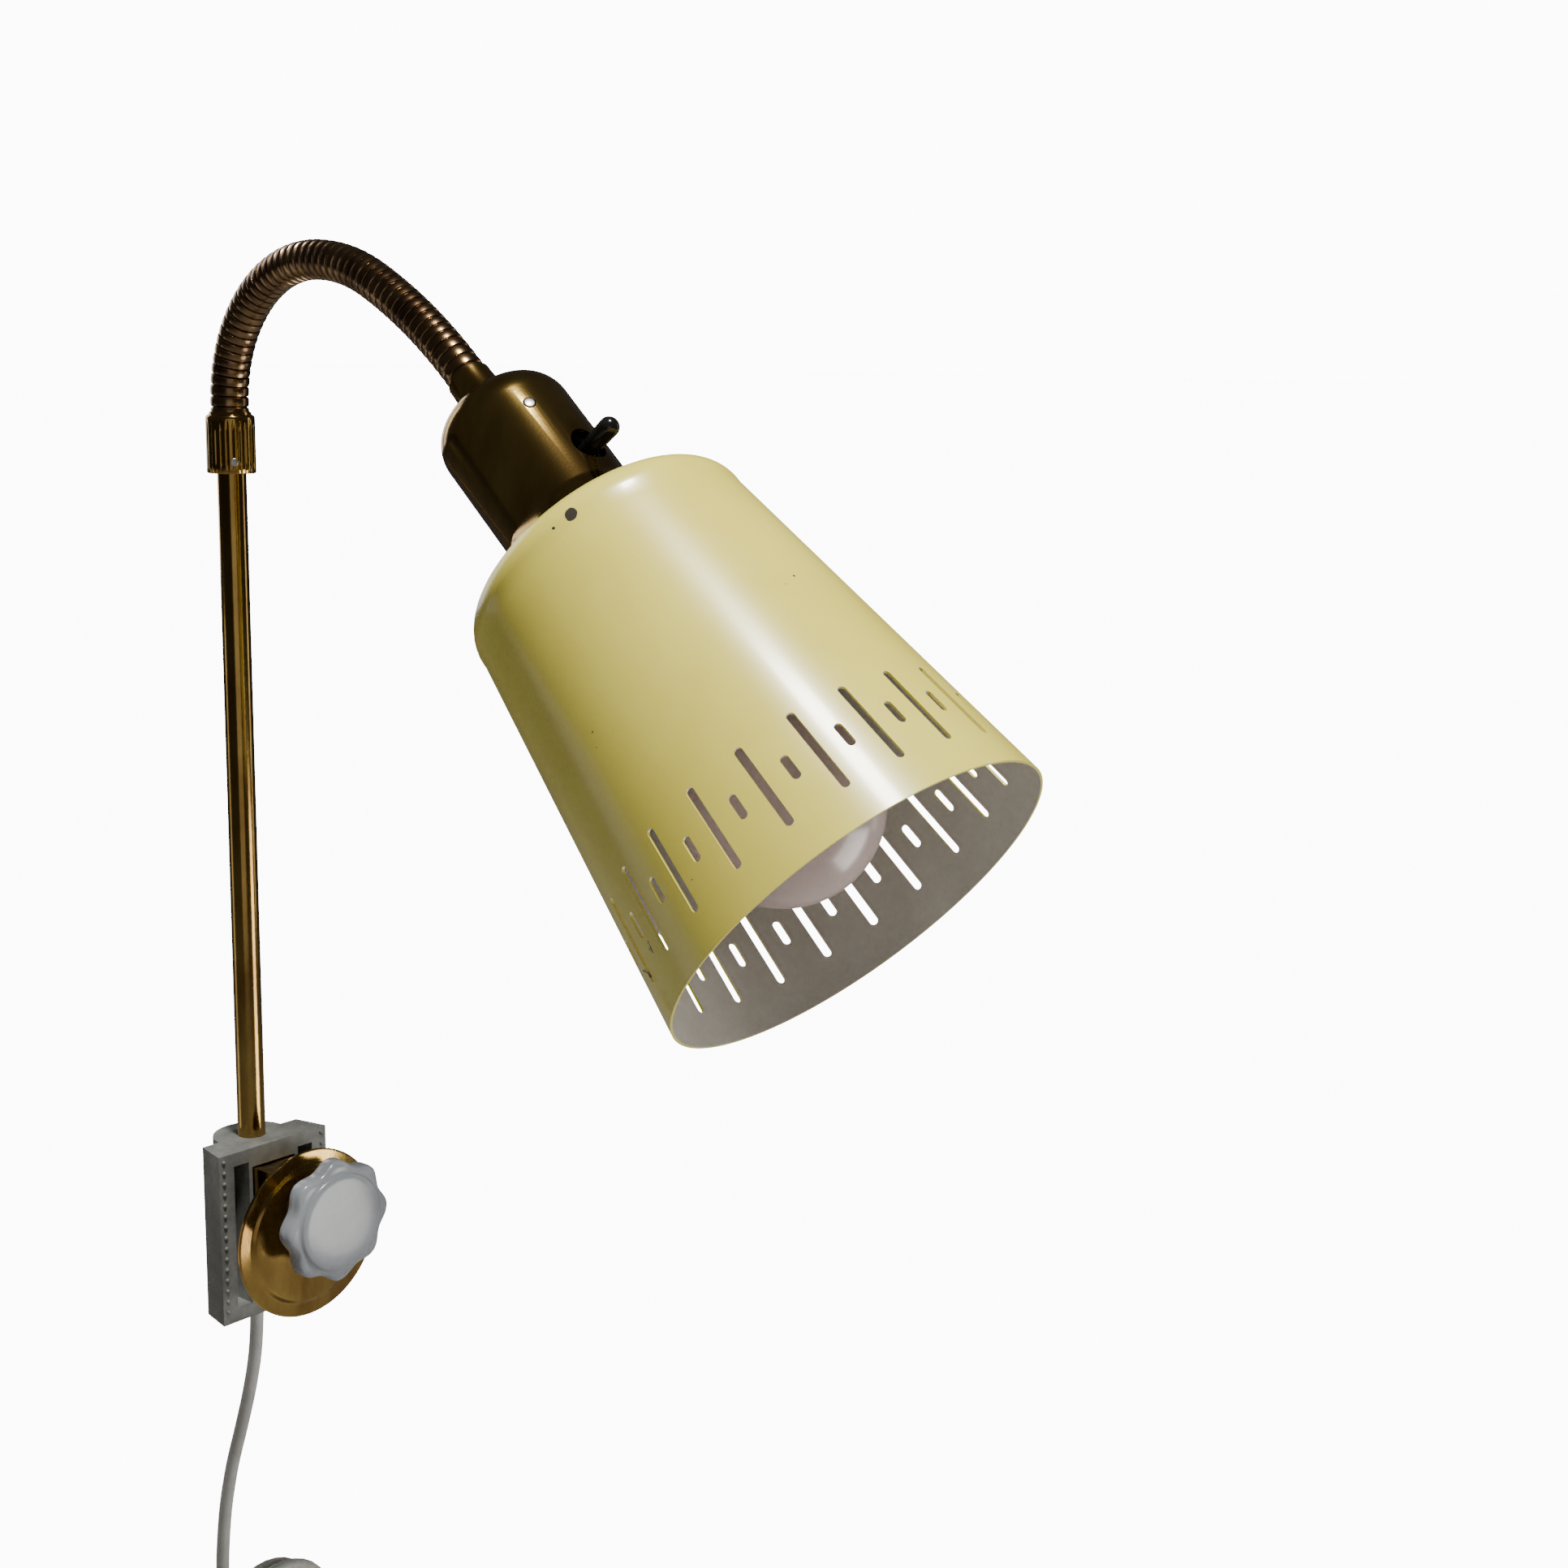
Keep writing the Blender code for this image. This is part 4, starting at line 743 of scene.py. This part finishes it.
# %% Jaw disc
SCREW_HOLE = 5.2
disc_middle = middle("jaw_disc")
disc_line = [(0, 21.0), (24.2, 21.0), (24.9, 20.7), (25.7, 19.95), (26.3, 19.75)]
disc_line += [(30.0, 19.75), (30.9, 19.5), (30.9, 18.9), (30.3, 18.75)]
disc_line += [(25.9, 18.75), (24.65, 20.0), (0, 20.0)]
disc = turned("jaw_disc_finished", disc_line, 128)
put(disc, Matrix.Translation((0, 0, disc_middle.z)) @ Matrix.Rotation(math.pi / 2, 4, "X"))
deselect()
bpy.ops.mesh.primitive_cylinder_add(vertices=48, radius=SCREW_HOLE * MM, depth=DRILL_DEPTH * MM)
bit = put(bpy.context.object, Matrix.Translation((0, -0.02, 0)) @ screw_place)
choose(disc)
hole = disc.modifiers.new("Hole", "BOOLEAN")
hole.object = bit
hole.operation = "DIFFERENCE"
bpy.ops.object.modifier_apply(modifier=hole.name)
bpy.data.objects.remove(bit)
settle(disc, "jaw_disc", angle=25)
print("disc", len(disc.data.polygons), "faces")

# %% [markdown]
# The knob is a moulding with eight lobes round its rim, a raised round face and a plain hub.
# It is turned first, and its rim's points are then moved out and in to make the lobes.

# %% Knob
LOBES, LOBE_DEPTH, RIM, LOBE_START = 8, 1.2, 21.3, 18.2
rim_rear, rim_front, hub_rear = 30.5, 37.3, 21.3
face_top, face_radius = rim_front + 1.9, 17.4
knob_line = [(0, face_top)]
for turn in (20, 40, 60, 75, 85):
    knob_line.append((face_radius * math.sin(math.radians(turn)), face_top - (turn / 90) ** 3))
knob_line += [(17.6, rim_front + 0.7), (17.9, rim_front + 0.25), (18.6, rim_front)]
knob_line += [(RIM - 1.9, rim_front - 0.1), (RIM - 0.8, rim_front - 0.5)]
knob_line += [(RIM - 0.15, rim_front - 1.3), (RIM, rim_front - 2.4), (RIM, rim_rear + 1.2)]
knob_line += [(RIM - 0.4, rim_rear + 0.35), (RIM - 1.3, rim_rear)]
knob_line += [(9.2, rim_rear), (8.5, rim_rear - 0.7), (8.5, hub_rear), (6.3, hub_rear)]
knob_line += [(6.3, rim_front - 0.3), (0, rim_front - 0.3)]
knob = turned("knob_finished", knob_line, 192)
for vertex in knob.data.vertices:
    radius = math.hypot(vertex.co.x, vertex.co.y) / MM
    if radius < LOBE_START:
        continue
    share = min(1.0, (radius - LOBE_START) / (RIM - LOBE_START - 0.6))
    wave = math.cos(LOBES * math.atan2(vertex.co.y, vertex.co.x))
    grown = (radius + LOBE_DEPTH * wave * share) / radius
    vertex.co.x *= grown
    vertex.co.y *= grown
put(knob, screw_place)
settle(knob, "knob", angle=50)
print("knob", len(knob.data.polygons), "faces")

# %% [markdown]
# Two columns of small pips stand on the fixed jaw's face, one by each side, to grip the rail.
# One pip is half sunk in the face, and the rest are copies of it.

# %% Pips
PIP_PITCH, PIP_SIDE, PIP_RADIUS, PIP_INSET, PIP_SINK = 4.05, 21.9, 0.85, 2.4, 0.1
top_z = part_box("clamp_body")[1][2] / MM
bottom_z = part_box("clamp_body")[0][2] / MM
deselect()
bpy.ops.mesh.primitive_uv_sphere_add(segments=16, ring_count=10, radius=PIP_RADIUS * MM)
pip = bpy.context.object
bpy.ops.object.shade_smooth()
pips = 0
rows = int((top_z - bottom_z - 4) / PIP_PITCH) + 1
for row in range(rows):
    for side in (-1, 1):
        copy = bpy.data.objects.new(f"grip_pip_{row}_{'l' if side < 0 else 'r'}", pip.data.copy())
        bpy.context.collection.objects.link(copy)
        pip_place = Vector((side * PIP_SIDE, PIP_SINK, top_z - PIP_INSET - row * PIP_PITCH))
        put(copy, Matrix.Translation(pip_place * MM))
        copy.data.materials.append(grey_plastic)
        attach(copy, "clamp")
        pips += 1
bpy.data.objects.remove(pip)
print(pips, "pips")

# %% [markdown]
# The switch lever is a glossy black dolly with a domed end, on a pin across the cup. Only the
# part outside the cup is made here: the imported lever, with its drum, stays under it.

# %% Lever
lever_joint = joint_at["switch_rock"]
lever_out = Matrix.Rotation(math.radians(-90), 4, "Z") @ Matrix.Rotation(math.radians(99), 4, "Y")
lever_place = Matrix.Translation(lever_joint["pos_m"]) @ (head_place @ lever_out).to_3x3().to_4x4()
PIN_RADIUS, LEVER_OUT = 14.0, 12.5
reach = CUP - PIN_RADIUS + LEVER_OUT
lever_line = [(0, reach)] + arc((0, reach - 3.2), 3.2, 88, 0, 12)[1:]
lever_line += [(3.1, reach - 6.0), (2.75, 4.0), (2.56, 1.5), (0, 1.5)]
lever = put(turned("switch_lever_finished", lever_line, 48), lever_place)
lever.data.materials.append(black_plastic)
choose(lever)
bpy.ops.object.shade_smooth_by_angle(angle=math.radians(50))
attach(lever, "switch")
print("lever", round(reach, 1), "mm")

# %% [markdown]
# The cord is one length: out of the bush, down and back in a slow curve, then into a hank of
# five turns in two layers, held by a tie, and out at the bottom to its plug.

# %% Cord
CORD_RADIUS = 2.5
CORD_ROUTE = (
    (0.0, 12.5, -24.5),
    (0.0, 12.6, -34.0),
    (-0.3, 14.0, -50.0),
    (-0.8, 17.5, -66.0),
    (-1.5, 22.5, -83.0),
    (-2.5, 27.5, -100.0),
    (-3.5, 31.0, -118.0),
    (-4.0, 33.0, -136.0),
    (-4.0, 33.8, -150.0),
    (-4.0, 33.8, -162.4),
)


def smooth(points, each):
    """Points on a smooth curve through the given ones."""
    ends = [points[0] * 2 - points[1], *points, points[-1] * 2 - points[-2]]
    found = []
    for before, start, end, after in zip(ends, ends[1:], ends[2:], ends[3:]):
        for i in range(each):
            t = i / each
            bend = (2 * before - 5 * start + 4 * end - after) * t * t
            twist = (3 * start - before - 3 * end + after) * t * t * t
            found.append(0.5 * (2 * start + (end - before) * t + bend + twist))
    return found + [points[-1]]


hank_low, hank_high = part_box("cord_hank")
hank_middle = (Vector(hank_low) + Vector(hank_high)) / 2 / MM
outer = (hank_high[0] - hank_low[0]) / 2 / MM - CORD_RADIUS
half_run = (hank_high[2] - hank_low[2]) / 2 / MM - outer - CORD_RADIUS
front, rear = hank_middle.y - CORD_RADIUS, hank_middle.y + CORD_RADIUS
turns = [(outer - step, front) for step in (0, 5, 10)]
turns += [(outer - step, rear) for step in (10, 5, 0)]
route = smooth([Vector(point) for point in CORD_ROUTE], 4)


def hank_point(x, y, z):
    """A point of the hank, across and up from its middle, at its own depth."""
    return Vector((hank_middle.x + x, y, hank_middle.z + z))


for (radius, depth), (next_radius, next_depth) in zip(turns, turns[1:]):
    for step in range(1, 8):
        route.append(hank_point(-radius, depth, half_run - 2 * half_run * step / 8))
    for x, z in arc((0, -half_run), radius, 180, 360, 17):
        route.append(hank_point(x, depth, z))
    for step in range(1, 8):
        route.append(hank_point(radius, depth, -half_run + 2 * half_run * step / 8))
    for step in range(17):
        share = step / 16
        angle = math.pi * share
        width = radius + (next_radius - radius) * share
        shift = depth + (next_depth - depth) * (0.5 - 0.5 * math.cos(math.pi * share))
        route.append(hank_point(width * math.cos(angle), shift, half_run + width * math.sin(angle)))
tail_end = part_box("cord_tail")[0][2] / MM
for step in range(1, 13):
    route.append(hank_point(-outer, rear, half_run + (tail_end - hank_middle.z - half_run) * step / 12))
cord_length = sum((b - a).length for a, b in zip(route, route[1:]))

sheath = bpy.data.curves.new("cord", "CURVE")
sheath.dimensions = "3D"
sheath.bevel_depth = CORD_RADIUS * MM
sheath.bevel_resolution = 4
sheath.use_fill_caps = True
line = sheath.splines.new("POLY")
line.points.add(len(route) - 1)
for point, place in zip(line.points, route):
    point.co = (*(place * MM), 1)
line.use_smooth = True
cord = bpy.data.objects.new("cord", sheath)
bpy.context.collection.objects.link(cord)
sheath.materials.append(cord_sheath)
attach(cord, "clamp")
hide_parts("cord_run", "cord_hank", "cord_tail")
print("cord", round(cord_length), "mm in", len(route), "points")

# %% [markdown]
# The tie is a flat black band round the hank's middle.

# %% Tie
TIE_HEIGHT, TIE_WALL, TIE_RADIUS, ON_AXIS = 8.0, 0.8, 5.6, 0.02
deselect()
bpy.ops.mesh.primitive_cylinder_add(
    vertices=64, radius=1.0, depth=TIE_HEIGHT * MM, end_fill_type="NOTHING"
)
tie = bpy.context.object
tie.name = "cord_tie_finished"
for vertex in tie.data.vertices:
    width, depth = vertex.co.x, vertex.co.y
    pulled = math.copysign(outer - CORD_RADIUS, width)
    vertex.co.x = (pulled + width * TIE_RADIUS) * MM if abs(width) > ON_AXIS else 0
    vertex.co.y = depth * TIE_RADIUS * MM
choose(tie)
wall = tie.modifiers.new("Wall", "SOLIDIFY")
wall.thickness = TIE_WALL * MM
wall.offset = 1
bpy.ops.object.modifier_apply(modifier=wall.name)
put(tie, Matrix.Translation(hank_middle * MM))
settle(tie, "cord_tie")
print("tie round", len(turns) - 1, "turns")
